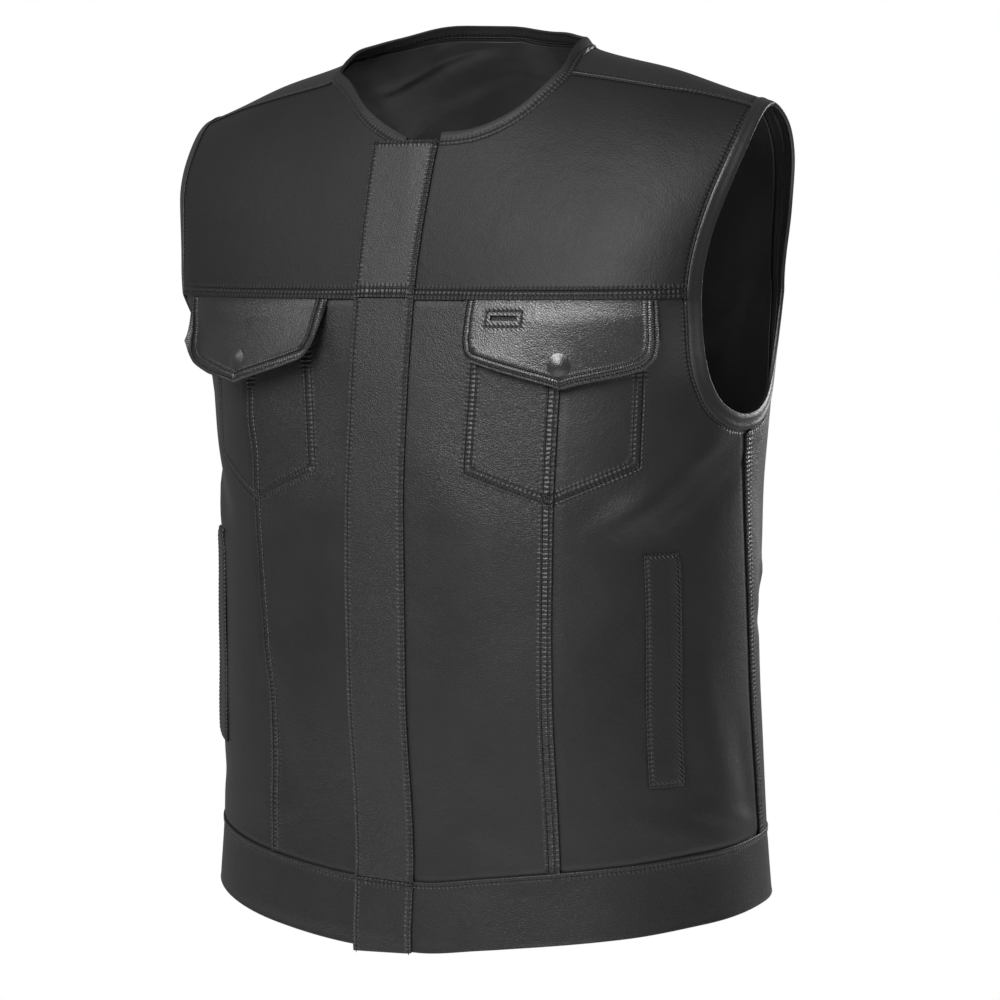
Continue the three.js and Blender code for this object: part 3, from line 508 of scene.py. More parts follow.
# The hide: its pebbles and the finer grain on them, with broader wrinkles, patches and clouds of shine. A row
# of stitches presses a groove, darkened with painted shade, with puckers across it at the thread's pitch, and
# between two rows it swells.
PEBBLES = {"scale": 680.0, "crack": 0.3, "crack_depth": 0.06, "rougher": 0.06, "fine_scale": 780.0,
           "fine_depth": 0.17}
WRINKLES, PATCHES = {"scale": 80.0, "depth": 0.3}, {"scale": 30.0, "depth": 0.5, "rougher": 0.12}
CLOUDS = {"scale": 9.0, "rougher": 0.16}
GROOVE = {"half_width": 1.2, "depth": 0.5, "painted_shade": 0.5, "rougher": 0.12}
PUCKER = {"reach": 4.2, "pitch": 3.3, "depth": 0.2, "unevenness": 5.0}
SWELL = {"smoother": 0.6, "shinier": 0.1}
COARSEST = 2.6
HIDE_DARK, HIDE_PALE = (0.0062, 0.0062, 0.0066, 1.0), (0.0125, 0.0126, 0.0134, 1.0)
# Colour inside the stitch grooves: painted shade
HIDE_GROOVE_SHADE = (0.003, 0.003, 0.0034, 1.0)


def leather(name, rows=(), grain=1.0, pucker=1.0, roll=0.9, rough_least=0.27, gloss=0.5,
            coarse_inside=None):
    """Black cowhide with a fine pebble grain. rows holds each seam that stitches follow, and their distances
    from it. The grain is coarser inside an outline, where one is named."""
    material, start, shader = new_material(name)
    place = start.node("ShaderNodeTexCoord", output=3)

    def noise(scale, detail, roughness=0.5, distortion=0.0):
        return start.node("ShaderNodeTexNoise", (), {"Vector": place, "Scale": scale, "Detail": detail,
                                                     "Roughness": roughness, "Distortion": distortion})

    cells = start.node("ShaderNodeTexVoronoi", {"feature": "DISTANCE_TO_EDGE"},
                       {"Vector": place, "Scale": PEBBLES["scale"], "Randomness": 0.95})
    cracks = cells.near(PEBBLES["crack"])
    fine, broad = noise(PEBBLES["fine_scale"], 1.0), noise(CLOUDS["scale"], 3.0, 0.6)
    patchy, wrinkle = noise(PATCHES["scale"], 3.0), noise(WRINKLES["scale"], 4.0, 0.6, 0.7)
    pebbles = cracks * (-PEBBLES["crack_depth"] * grain) + fine * (PEBBLES["fine_depth"] * grain)
    if coarse_inside:
        depth = start.node("ShaderNodeAttribute", {"attribute_name": coarse_inside}, output=2)
        coarse = start.node("ShaderNodeMapRange", {"interpolation_type": "SMOOTHSTEP"},
                            {0: depth + patchy * 30.0, 1: -30.0, 2: 20.0, 3: 1.0, 4: COARSEST})
        pebbles = pebbles * coarse
    height = wrinkle * WRINKLES["depth"] + patchy * PATCHES["depth"]
    groove_mask_and_shade = polish = None
    for seam, distances in rows:
        edge, run = (start.node("ShaderNodeAttribute", {"attribute_name": key}, output=2) for key in
                     (seam, seam + "_run"))
        wave = (run * (2 * math.pi / PUCKER["pitch"]) + wrinkle * PUCKER["unevenness"]).math("SINE")
        for distance in distances:
            off = edge - distance
            line = off.near(GROOVE["half_width"])
            puckers = off.near(PUCKER["reach"]) * wave * (PUCKER["depth"] * pucker)
            height = height - line * GROOVE["depth"] + puckers
            groove_mask_and_shade = line if groove_mask_and_shade is None else groove_mask_and_shade.math("MAXIMUM", line)
        if len(distances) == 2:
            bulge = (edge - sum(distances) / 2).near(distances[1] - distances[0])
            height = height + bulge * roll
            pebbles = pebbles * (1 - bulge * SWELL["smoother"])
            shine = bulge * SWELL["shinier"]
            polish = shine if polish is None else polish + shine
    height = height + pebbles
    tint = (broad * 0.6 + patchy * 0.4).mix(HIDE_DARK, HIDE_PALE)
    rough = broad * CLOUDS["rougher"] + patchy * PATCHES["rougher"] + cracks * (PEBBLES["rougher"] * grain)
    rough = rough + rough_least
    # Inside the stitch grooves the colour is darkened as painted shade, and the leather is rougher there
    if groove_mask_and_shade is not None:
        tint = (groove_mask_and_shade * GROOVE["painted_shade"]).mix(tint, HIDE_GROOVE_SHADE)
        rough = rough + groove_mask_and_shade * GROOVE["rougher"]
    if polish is not None:
        rough = rough - polish
    finish(start, shader, tint, rough, height, gloss)
    return material


def lining(name):
    """Smooth black cloth, woven so finely that only its creases show"""
    crease_depth, weave_depth = 3.0, 0.03
    material, start, shader = new_material(name)
    place = start.node("ShaderNodeTexCoord", output=3)
    weave = start.node("ShaderNodeTexNoise", (), {"Vector": place, "Scale": 1500.0, "Detail": 1.0})
    creases = start.node("ShaderNodeTexNoise", (), {"Vector": place, "Scale": 16.0, "Detail": 3.0,
                                                    "Roughness": 0.5, "Distortion": 0.4})
    # The colour follows the same crease noise as the bump: paler on the crests and darker in the hollows, as
    # painted highlight and painted shade
    tint = creases.mix((0.0140, 0.0140, 0.0146, 1.0), (0.0250, 0.0250, 0.0258, 1.0))
    finish(start, shader, tint, creases * 0.2 + 0.32, creases * crease_depth + weave * weave_depth, 0.5)
    return material


lining_cloth = lining("lining_cloth")


def closer(t, amount=0.75):
    """Draws the rows of a piece closer together near its edges"""
    return t * (1 - amount) + smooth_step(t) * amount


def dense(line, spacing=1.0):
    """A line with a point every millimetre or so"""
    run = run_of(line)
    at = np.linspace(0, run[-1], max(int(run[-1] / spacing), 2))
    return np.stack([np.interp(at, run, column) for column in line.T], axis=-1)


def seam_on(form, flat_line):
    """A seam drawn on the flat cut, as a line on the form"""
    flat_line = dense(np.array(flat_line, float))
    return dense(form(flat_line[:, 0], flat_line[:, 1])[0])


def from_line(points, line):
    """Distance of points from a line, and how far along it they lie"""
    tree = KDTree(len(line))
    for i, point in enumerate(line):
        tree.insert((*point, 0.0)[:3], i)
    tree.balance()
    found = [tree.find((*point, 0.0)[:3]) for point in points]
    return np.array([hit[2] for hit in found]), np.array([float(hit[1]) for hit in found])


def over_seam(distance, rise, reach=7.0):
    """How much the leather is raised near a seam, or sunk with a negative rise"""
    return rise * (1 - smooth_step(distance / reach))


def put_in_scene(name, mesh, skins):
    """Gives a mesh its materials and makes it a thing of the scene"""
    for skin in skins:
        mesh.materials.append(skin)
    thing = bpy.data.objects.new(name, mesh)
    bpy.context.scene.collection.objects.link(thing)
    return thing


def laid(name, columns, rows, cut, form, skins, replaces=None, lift=None, thickness=1.8,
         edges=(), rounding=0.5, trim=None, closed=False):
    """A piece of leather or cloth cut flat and laid on the form. cut gives its places on the flat by shares
    across and up, form turns them into points and directions, and lift raises them. edges names the seams,
    as lines or as measures on the flat, that the lift and the leather's grooves follow."""
    piece = bmesh.new()
    bmesh.ops.create_grid(piece, x_segments=columns, y_segments=rows, size=0.5)
    shares = np.array([vert.co[:2] for vert in piece.verts]) + 0.5
    across_share = shares[:, 0] if closed else closer(shares[:, 0])
    for vert, spot in zip(piece.verts, cut(across_share, closer(shares[:, 1]))):
        vert.co = (*spot, 0)
    if trim is not None:
        trim(piece)
    piece.verts.index_update()
    spots = np.array([vert.co[:2] for vert in piece.verts])
    points, normals = form(spots[:, 0], spots[:, 1])
    far, along = {}, {}
    for key, edge in dict(edges).items():
        far[key], along[key] = edge(spots) if callable(edge) else from_line(points, edge)
    if lift is not None:
        points = points + normals * np.broadcast_to(lift(spots, far), len(points))[:, None]
    cut_map = piece.loops.layers.uv.new("cut")
    for face in piece.faces:
        face.smooth = True
        for loop in face.loops:
            loop[cut_map].uv = (spots[loop.vert.index] / 1000).tolist()
    for vert, point in zip(piece.verts, (points - ORIGIN) / 1000):
        vert.co = point
    piece.normal_update()
    outward = sum(Vector(normals[vert.index]).dot(vert.normal) for vert in piece.verts)
    if outward < 0:
        bmesh.ops.reverse_faces(piece, faces=piece.faces)
    layers = {key: piece.verts.layers.float.new(key) for key in (*far, *(seam + "_run" for seam in far))}
    for vert, *values in zip(piece.verts, *far.values(), *along.values()):
        for layer, value in zip(layers.values(), values):
            vert[layer] = value
    if closed:
        bmesh.ops.remove_doubles(piece, verts=piece.verts, dist=0.00002)
    mesh = bpy.data.meshes.new(name)
    piece.to_mesh(mesh)
    piece.free()
    thing = put_in_scene(name, mesh, skins)
    wall = thing.modifiers.new("wall", "SOLIDIFY")
    wall.thickness, wall.offset = thickness / 1000, -1
    wall.material_offset = len(skins) - 1
    if rounding:
        edge = thing.modifiers.new("edge", "BEVEL")
        edge.width, edge.segments = rounding / 1000, 2
        edge.limit_method, edge.angle_limit, edge.use_clamp_overlap = "ANGLE", 0.9, True
    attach(thing, "root")
    if replaces:
        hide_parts(replaces)
    return thing


thread_line, thread, thread_shader = new_material("black_thread")
twist = thread.node("ShaderNodeTexNoise", (), {"Vector": thread.node("ShaderNodeTexCoord", output=3),
                                               "Scale": 2400.0, "Detail": 2.0})
finish(thread, thread_shader, twist.mix((0.008, 0.008, 0.0084, 1.0), (0.018, 0.018, 0.0186, 1.0)),
       twist * 0.2 + 0.35, twist * 0.12, 0.5)


# One stitch: height, width and length of its bead, how proud it stands, and the pitch of the thread. Where a
# seam line leaves its piece by more than the reach, nothing is sewn.
STITCH = {"size": (0.55, 0.75, 2.3), "proud": 0.1, "pitch": 3.1, "reach": 4.0}


def stitches(name, rows):
    """Rows of sewn stitches, joined in one mesh. Each row is a piece, a seam line, and the distance from it
    towards the middle of that piece."""
    bean = bmesh.new()
    bmesh.ops.create_uvsphere(bean, u_segments=6, v_segments=4, radius=0.5)
    bmesh.ops.scale(bean, vec=STITCH["size"], verts=bean.verts)
    bean.verts.index_update()
    shape = np.array([vert.co[:] for vert in bean.verts])[:, [2, 1, 0]]
    sides = [[vert.index for vert in face.verts][::-1] for face in bean.faces]
    bean.free()
    corners, faces = [], []
    for piece, line, offset in rows:
        places = [vert.co[:] for vert in piece.data.vertices]
        tree = BVHTree.FromPolygons(places, [face.vertices[:] for face in piece.data.polygons])
        middle = np.mean(places, axis=0)
        line = dense((np.array(line) - ORIGIN) / 1000, 0.0005)
        ahead = np.gradient(line, axis=0)
        ahead /= np.linalg.norm(ahead, axis=1, keepdims=True)
        found = [tree.find_nearest(point) for point in line]
        beside = np.cross([hit[1][:] for hit in found], ahead)
        half = len(line) // 2
        if np.dot(beside[half], middle - line[half]) < 0:
            beside = -beside
        route = dense(line + beside * offset / 1000, STITCH["pitch"] / 1000)
        heading = np.gradient(route, axis=0)
        for point, forward in zip(route, heading):
            spot, normal, _, _ = tree.find_nearest(point)
            if (Vector(point) - spot).length > STITCH["reach"] / 1000:
                continue
            forward = Vector(forward)
            forward = (forward - normal * forward.dot(normal)).normalized()
            turn = np.array([forward[:], normal.cross(forward)[:], normal[:]])
            faces += [[i + len(shape) * len(corners) for i in side] for side in sides]
            corners.append((shape @ turn + np.array(normal) * STITCH["proud"]) / 1000 + np.array(spot))
    mesh = bpy.data.meshes.new(name)
    mesh.from_pydata(np.vstack(corners).tolist(), [], faces)
    mesh.shade_smooth()
    thing = put_in_scene(name, mesh, (thread_line,))
    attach(thing, "root")


def both_sides(form, flat_line):
    """A seam and its mirror image, as one set of points on the form"""
    return np.vstack([seam_on(form, flat_line * (sign, 1)) for sign in (1, -1)])


back_rows = {"shoulder": (1.8, 5.2), "side": (2.0, 6.8), "armhole": (1.8,)}
back_seams = {"shoulder": shoulder_behind, "side": side_behind, "armhole": armhole_seam_behind}
back = laid(
    "vest_back", 120, 165, back_cut, on_back, (leather("leather_back", back_rows.items()), lining_cloth),
    replaces="back",
    lift=lambda spots, far: (over_seam(far["shoulder"], 0.8) + over_seam(far["side"], 0.8)
                             + over_seam(far["armhole"], -0.5, 4) - 0.3 * (spots[:, 1] < 60)),
    edges={seam: both_sides(on_back, line) for seam, line in back_seams.items()})
stitches("stitches_back", [(back, seam_on(on_back, back_seams[seam] * (sign, 1)), offset)
                           for sign in (1, -1) for seam, offsets in back_rows.items() for offset in offsets])

# The lining: thin black cloth inside the back and shoulders, which shows through the neck and the armholes.
# It is cut a little larger than the leather and sewn in at the edges, so it lies in slack creases. Each is
# given by the place across and up where it starts, the place where it ends, its width and its depth.
LINING_SIDE, LINING_FOOT, LINING_HEAD = 0.02, 0.372, 0.996
LINING_INSIDE, CREASE_LIMIT = 2.7, 0.6
slack_creases = np.array([
    (-97, 657, -30, 628, 5, -2.2),
    (-44, 634, 12, 613, 5, -3.2),
    (-78, 630, 6, 596, 7, 0.6),
    (-70, 600, 20, 588, 7, -1.2),
    (-30, 578, 90, 592, 8, 1.3),
    (60, 560, 120, 600, 8, -1.2),
    (-150, 560, -90, 590, 8, 1.2),
    (-120, 500, -20, 520, 10, -1.2),
    (10, 480, 110, 505, 10, 1.2),
    (120, 640, 160, 560, 9, -1.2),
    (-170, 640, -140, 560, 9, 1.2),
    (-200, 480, -150, 420, 10, -1.1),
    (200, 470, 150, 410, 10, 1.1),
])


def lining_cut(u, v):
    """The upper part of the back's cut, a little in from its edges"""
    return back_cut(LINING_SIDE + (1 - 2 * LINING_SIDE) * u, LINING_FOOT + (LINING_HEAD - LINING_FOOT) * v)


def lining_lift(spots, far):
    """The lining lies inside the leather. Its creases stay off the hide and fade out at the neck edge."""
    lift = np.zeros(len(spots))
    for x0, z0, x1, z1, width, depth in slack_creases:
        lift += soft_ridge(spots[:, 0] - x0, spots[:, 1] - z0, x1 - x0, z1 - z0, width, depth)
    return np.minimum(lift, CREASE_LIMIT) * smooth_step((far["neck"] - 2) / 14) - LINING_INSIDE


back_lining = laid("lining_back", 150, 130, lining_cut, on_back, (lining_cloth,),
                   replaces="back_lining", thickness=0.6, rounding=0, lift=lining_lift,
                   edges={"neck": seam_on(on_back, neck_line_behind)})

# The fronts: each side is cut in three from 2 mm cowhide. A yoke runs from the chest seam to the shoulder,
# and below it a centre and a side panel meet at the curved princess seam. Both seams are lapped and sewn with
# two rows, and two more rows draw the outline of the pocket that hangs behind the leather.
FRONT_MEETING, FRONT_GAP = 10.0, 0.15
LAP, EDGE_OVER, SIDE_LAP = 3.0, 0.8, 2.4
princess = {
    "left": read_table((0, 180, 300, YOKE_SEAM), (127, 125, 127, 130)),
    "right": read_table((0, 150, 300, YOKE_SEAM), (119, 119, 130, 137)),
}
neckline = {
    "left": smooth_line([(10.15, 567.5), (17.4, 567.7), (37, 569), (54, 575), (70, 586), (83.5, 603),
                         (91, 616)]),
    "right": smooth_line([(-9.85, 561), (10, 565.5), (28, 574), (44, 583.5), (60, 597), (74, 609),
                          (88, 616.5)]),
}
armhole_seam = smooth_line([
    UNDERARM, (262, 364.5), (240, 377), (227.5, 396), (221.5, 416), (219, 444), (217.5, 467), (215, 499),
    (213, 531), (212.8, 560), (213, 590)])
armhole_rim = smooth_line([
    (284, 373), (269, 375), (251, 384), (239, 401), (232.5, 424), (230, 445), (228.6, 466), (225.8, 500),
    (224.7, 531), (224.2, 559), (224, 589)])
pocket_outline = {
    "left": np.array([(64, 404), (62, 337), (124, 315.7), (188, 340.7), (188, 404)]),
    "right": np.array([(70, 404), (62, 334), (128.5, 307), (190, 337), (190, 404)]),
}
FRONT_ROWS = {"yoke": (1.9, 6.9), "armhole": (1.8,), "princess": (2.1, 7.6), "pocket": (0.0, 5.6)}


def rows_of(*seams):
    return [(seam, FRONT_ROWS[seam]) for seam in seams]


def inside(corners, sign):
    """Measures how far places lie inside an outline on the flat, and how far along it"""
    def measure(spots):
        spots = spots * (sign, 1)
        best, run, start = np.full(len(spots), 1e3), np.zeros(len(spots)), 0.0
        for first, second in zip(corners, corners[1:]):
            leg = second - first
            length = np.hypot(*leg)
            off = spots - first
            distance = (leg[0] * off[:, 1] - leg[1] * off[:, 0]) / length
            nearest = distance < best
            best = np.where(nearest, distance, best)
            run = np.where(nearest, start + off @ leg / length, run)
            start += length
        return best, run
    return measure


def inset(line, distance):
    """A flat line moved to its left, with its corners kept sharp"""
    line = np.array(line, float)
    legs = np.diff(line, axis=0)
    sides = np.stack([-legs[:, 1], legs[:, 0]], axis=-1) / np.linalg.norm(legs, axis=1, keepdims=True)
    before, after = np.vstack([sides[:1], sides]), np.vstack([sides, sides[-1:]])
    return line + (before + after) / (1 + np.sum(before * after, axis=1, keepdims=True)) * distance


def handed(cut, sign):
    return lambda u, v: cut(u, v) * (sign, 1)


def under_flap(spots):
    """1 along the stretch of the yoke seam that the pocket flap hangs from"""
    across = np.abs(spots[:, 0])
    return smooth_step((across - 50) / 10) * smooth_step((206 - across) / 10)


def tucked(far, *seams):
    """How far a panel sinks where its neighbours lap over it"""
    return sum(over_seam(far[seam], -1.0, 6) for seam in seams)


def pocket_hollow(far):
    """The hollow that the pocket's outer row of stitches draws into the leather"""
    depth, half_width = 0.35, 1.6
    return -depth * np.exp(-((far["pocket"] / half_width) ** 2))


def pocket_swell(far):
    """Inside the pocket's outline the leather stands a little proud of the rest"""
    return over_seam(np.maximum(3 - far["pocket"], 0), 0.4, 4)


yoke_skins = (leather("leather_yoke", rows_of("yoke", "armhole"), grain=0.8, roll=1.4, rough_least=0.34,
                      gloss=0.27), lining_cloth)
centre_skins = (leather("leather_centre", rows_of("princess", "pocket"), pucker=1.3,
                        coarse_inside="pocket"), lining_cloth)
side_skins = (leather("leather_side", rows_of("armhole", "pocket"), grain=0.8), lining_cloth)
YOKE_END, PRINCESS_FOOT, SIDE_FOOT, SIDE_FOOT_END = 219, 127, 306, 309
SIDE_SEAM_SHARE = 0.56
for side, sign in (("left", 1), ("right", -1)):
    front_edge = FRONT_MEETING * sign + FRONT_GAP
    seams = {
        "yoke": seam_on(on_front, [(front_edge * sign, YOKE_SEAM), (YOKE_END * sign, YOKE_SEAM)]),
        "princess": seam_on(on_front, [(princess[side](h) * sign, h)
                                       for h in np.linspace(40, YOKE_SEAM, 60)]),
        "waist": seam_on(on_front, [(x * sign, waist_height(x * sign))
                                    for x in np.linspace(front_edge, 308, 60)]),
        "armhole": seam_on(on_front, armhole_seam * (sign, 1)),
        "side": seam_on(on_front, [(side_seam(h) * sign, h) for h in np.linspace(45, UNDERARM[1], 60)]),
    }
    pocket = inside(pocket_outline[side], sign)

    yoke_foot = (front_edge, YOKE_SEAM - 1)
    yoke_armhole = armhole_seam[armhole_seam[:, 1] > YOKE_SEAM - 1]
    yoke_cut = cut_between(paced(np.vstack([[yoke_foot], neckline[side]])), paced(yoke_armhole),
                           paced(np.array([yoke_foot, yoke_armhole[0]])), paced(shoulder_seam))
    yoke = laid(
        f"yoke_{side}", 66, 56, handed(yoke_cut, sign), on_front, yoke_skins, replaces=f"front_yoke_{side}",
        lift=lambda spots, far: (
            over_seam(far["yoke"], 0.9) + over_seam(far["yoke"], 1.0, 10) * under_flap(spots)
            + over_seam(far["armhole"], -0.5, 4)),
        edges={key: seams[key] for key in ("yoke", "armhole")})

    def centre_cut(u, v):
        across = front_edge + (princess[side](v * YOKE_SEAM) + EDGE_OVER - front_edge) * u
        low = waist_height(across * sign) - LAP
        return np.stack([across, low + (YOKE_SEAM + LAP - low) * v], axis=-1)

    centre = laid(
        f"centre_{side}", 44, 130, handed(centre_cut, sign), on_front, centre_skins,
        replaces=f"front_centre_{side}",
        lift=lambda spots, far: (
            over_seam(far["princess"], 0.9) + tucked(far, "yoke", "waist") + pocket_hollow(far)
            + pocket_swell(far)),
        edges={**{key: seams[key] for key in ("princess", "yoke", "waist")}, "pocket": pocket})

    side_armhole = armhole_seam[armhole_seam[:, 1] < YOKE_SEAM + LAP]
    levels_up = np.linspace(0, 1, 80)
    inner_base = waist_height(PRINCESS_FOOT * sign) - LAP
    outer_base = waist_height(SIDE_FOOT * sign) - LAP
    inner_line = np.stack([princess[side](levels_up * YOKE_SEAM) - LAP,
                           inner_base + (YOKE_SEAM + LAP - inner_base) * levels_up], axis=-1)
    outer_heights = outer_base + (UNDERARM[1] - outer_base) * levels_up
    outer_line = np.stack([side_seam(outer_heights) + SIDE_LAP, outer_heights], axis=-1)
    side_base = [(x, waist_height(x * sign) - LAP)
                 for x in np.linspace(inner_line[0, 0], SIDE_FOOT_END, 40)]
    side_cut = cut_between(
        paced(inner_line), followed_by(SIDE_SEAM_SHARE, paced(outer_line), paced(side_armhole)),
        paced(np.array(side_base)), paced(np.array([inner_line[-1], side_armhole[-1]])))
    panel = laid(
        f"side_{side}", 56, 120, handed(side_cut, sign), on_front, side_skins,
        replaces=f"front_side_{side}",
        lift=lambda spots, far: (
            over_seam(far["princess"], -1.0) + tucked(far, "yoke", "waist") + pocket_hollow(far)
            + over_seam(far["armhole"], -0.5, 4) + over_seam(far["side"], -1.3)),
        edges={**seams, "pocket": pocket})

    sewn_seams = ((yoke, "yoke"), (yoke, "armhole"), (panel, "armhole"), (centre, "princess"))
    front_rows = [(piece, seams[seam], offset) for piece, seam in sewn_seams for offset in FRONT_ROWS[seam]]
    for offset in FRONT_ROWS["pocket"]:
        row = dense(inset(pocket_outline[side], offset + 0.001))
        on_centre = row[:, 0] < princess[side](row[:, 1])
        for piece, part in ((centre, row[on_centre]), (panel, row[~on_centre])):
            front_rows.append((piece, seam_on(on_front, part * (sign, 1)), 0))
    stitches(f"stitches_front_{side}", front_rows)

# The pocket bags: thin black cloth hung inside each front behind the flap, and caught by the two rows of
# stitches that draw the pocket's outline on the leather.
BAG = {"inner": 62.0, "outer": 188.0, "top": 440.0}
bag_bottom = read_table((BAG["inner"], 125.9, 126.1, BAG["outer"]), (338, 315.6, 315.6, 338))
for side, sign in (("left", 1), ("right", -1)):
    def bag_cut(u, v):
        across = BAG["inner"] + (BAG["outer"] - BAG["inner"]) * u
        return np.stack([across, bag_bottom(across) + (BAG["top"] - bag_bottom(across)) * v], axis=-1)

    bag = laid(f"pocket_bag_{side}", 32, 28, handed(bag_cut, sign), on_front, (lining_cloth,),
               replaces=f"pocket_{side}", thickness=0.8, rounding=0,
               lift=lambda spots, far: -3.0 + 0.5 * np.sin(spots[:, 0] / 9) * np.sin(spots[:, 1] / 13))

# The placket: a strip of folded cowhide, 49 mm wide, that covers the hidden front fastening. It is sewn to
# the wearer's left front along one side and free along its fold, in three lengths that join at the chest seam
# and at the waistband. Each length is given by the heights of its foot and its head, and by its rows of mesh.
PLACKET_FREE, PLACKET_SEWN, PLACKET_RISE, HEM_SLOPE = -33.0, 16.4, 2.8, 4.3
placket_lengths = {
    "top": (YOKE_SEAM + 0.2, 571.0, 46),
    "front": (38.2, YOKE_SEAM - 0.1, 150),
    "band": (-17.0, 37.9, 24),
}
placket_grain = {"top": 1.2, "front": 2.2, "band": 1.1}
placket_rows = {
    "top": [("free", (1.7,)), ("sewn", (2.4,)), ("head", (2.1,)), ("foot", FRONT_ROWS["yoke"])],
    "front": [("free", (3.0,)), ("sewn", (2.4,))],
    "band": [("free", (3.0,)), ("sewn", (2.4,)), ("head", (3.0,))],
}
for part, (low, high, rows) in placket_lengths.items():
    def strip_cut(u, v):
        foot = low + HEM_SLOPE * u * (part == "band")
        across = PLACKET_FREE + (PLACKET_SEWN - PLACKET_FREE) * u
        return np.stack([across, foot + (high - foot) * v], axis=-1)

    corners = [(PLACKET_FREE, low), (PLACKET_FREE, high), (PLACKET_SEWN, low), (PLACKET_SEWN, high)]
    seams = {seam: seam_on(on_front, [corners[first], corners[second]])
             for seam, first, second in (("free", 0, 1), ("sewn", 2, 3), ("head", 1, 3), ("foot", 0, 2))}
    skin = leather(f"leather_placket_{part}", placket_rows[part], grain=placket_grain[part], pucker=2.3,
                   gloss=0.52)
    strip = laid(f"placket_strip_{part}", 20, rows, strip_cut, on_front, (skin,), replaces=f"placket_{part}",
                 thickness=2.3, rounding=1.0, edges=seams,
                 lift=lambda spots, far: (PLACKET_RISE - over_seam(far["sewn"], 1.0, 4)
                                          + 0.5 * np.sin(spots[:, 1] / 31) * smooth_step(far["sewn"] / 30)))
    stitches(f"stitches_placket_{part}",
             [(strip, seams[seam], offset) for seam, offsets in placket_rows[part] for offset in offsets])

# The neckband: a narrow folded band of the same hide, with no collar on it. It stands up from the neck seam
# at an angle that steepens behind the neck, and its end on the wearer's right passes behind the placket.
NECK_REACH, NECK_UNDER = 10.0, 0.4
NECK_STAND, NECK_STEEPER = 54, 14
LEFT_END, RIGHT_END = 17.3, 9.9
left_neck = neckline["left"][neckline["left"][:, 0] >= LEFT_END]
right_neck = mirrored(neckline["right"][neckline["right"][:, 0] >= RIGHT_END][::-1])
neck_line = dense(np.vstack([on_front(*left_neck.T)[0], on_back(*neck_line_behind[::-1].T)[0][1:-1],
                             on_front(*right_neck.T)[0]]))


def smoothed(line, reach=10):
    """Each point of a line as the mean of those within reach, but for its two ends"""
    window = np.ones(2 * reach + 1) / (2 * reach + 1)
    means = [np.convolve(column, window, "valid") for column in line.T]
    return np.vstack([line[:reach], np.stack(means, axis=-1), line[-reach:]])


neck_line = smoothed(neck_line)
neck_ahead = smoothed(np.gradient(neck_line, axis=0))
neck_stations = np.arange(len(neck_line))


def on_neckband(along, up):
    """The band by distance round the neck and by distance up from its seam"""
    base, ahead = (np.stack([np.interp(along, neck_stations, column) for column in line.T], axis=-1)
                   for line in (neck_line, neck_ahead))
    inward = ORIGIN[:2] - base[:, :2]
    inward /= np.linalg.norm(inward, axis=1, keepdims=True)
    stand = np.radians(NECK_STAND + NECK_STEEPER * smooth_step(np.abs(inward[:, 1])))
    rise = np.column_stack([inward * np.cos(stand)[:, None], np.sin(stand)])
    normal = np.cross(ahead, rise)
    normal /= np.linalg.norm(normal, axis=1, keepdims=True)
    return base + rise * up[:, None], normal


def neck_cut(u, v):
    return np.stack([u * neck_stations[-1], (NECK_REACH + NECK_UNDER) * v - NECK_UNDER], axis=-1)


def folded(up, crest, crest_at, crest_width, drop, drop_from, drop_width):
    """Height of a folded band: a soft crest near its seam, and a drop towards its edge"""
    roll = crest * np.exp(-(((up - crest_at) / crest_width) ** 2))
    return roll - drop * smooth_step((up - drop_from) / drop_width)


def neck_lift(spots, far):
    """The band's fold, slight waves along it, and its far end tucked in behind the placket"""
    tuck = 1.4 * smooth_step((spots[:, 0] / neck_stations[-1] - 0.9) / 0.06)
    return folded(spots[:, 1], 0.9, 1.0, 1.6, 0.5, 7.5, 2.5) - tuck + 0.25 * np.sin(spots[:, 0] / 17)


NECK_ROW = 2.6
leather_neckband = leather("leather_neckband", [("neck", (NECK_ROW,))], rough_least=0.36, gloss=0.4)
neckband = laid("neck_binding", 230, 12, neck_cut, on_neckband, (leather_neckband,), replaces="neckband",
                thickness=2.4, rounding=1.0, lift=neck_lift, edges={"neck": neck_line})
stitches("stitches_neck", [(neckband, neck_line, NECK_ROW)])

# The armhole bindings: folded strips of the hide round each armhole, 12 mm wide, turned over a soft rim.
# The panels are tucked under them at the seam.
leather_armhole = leather("leather_armhole", grain=0.7, rough_least=0.2, gloss=0.7)
BAND_REACH = 11.0
front_run, back_run = run_of(armhole_seam), run_of(armhole_seam_behind)
armhole_girth = front_run[-1] + back_run[-1]
read_front_band = paced(np.hstack([armhole_seam, armhole_rim]), front_run)
read_back_band = paced(np.hstack([armhole_seam_behind, armhole_rim_behind])[::-1],
                       back_run[-1] - back_run[::-1])
for side, sign in (("left", 1), ("right", -1)):
    def on_armhole(along, up):
        share = (up / BAND_REACH)[:, None]
        front = read_front_band(np.clip(along / front_run[-1], 0, 1))
        behind = read_back_band(np.clip((along - front_run[-1]) / back_run[-1], 0, 1))
        front, behind = (rows[:, :2] * (1 - share) + rows[:, 2:] * share for rows in (front, behind))
        front_points, front_normals = on_front(front[:, 0] * sign, front[:, 1])
        back_points, back_normals = on_back(behind[:, 0] * sign, behind[:, 1])
        ahead = (along < front_run[-1])[:, None]
        return np.where(ahead, front_points, back_points), np.where(ahead, front_normals, back_normals)

    def armhole_cut(u, v):
        return np.stack([u * armhole_girth, BAND_REACH * v], axis=-1)

    binding = laid(f"armhole_binding_{side}", 250, 12, armhole_cut, on_armhole, (leather_armhole,),
                   replaces=f"armhole_band_{side}", thickness=2.7, rounding=1.1, closed=True,
                   lift=lambda spots, far: 0.3 + folded(spots[:, 1], 0.5, 2.0, 1.9, 0.6, 8, 3))

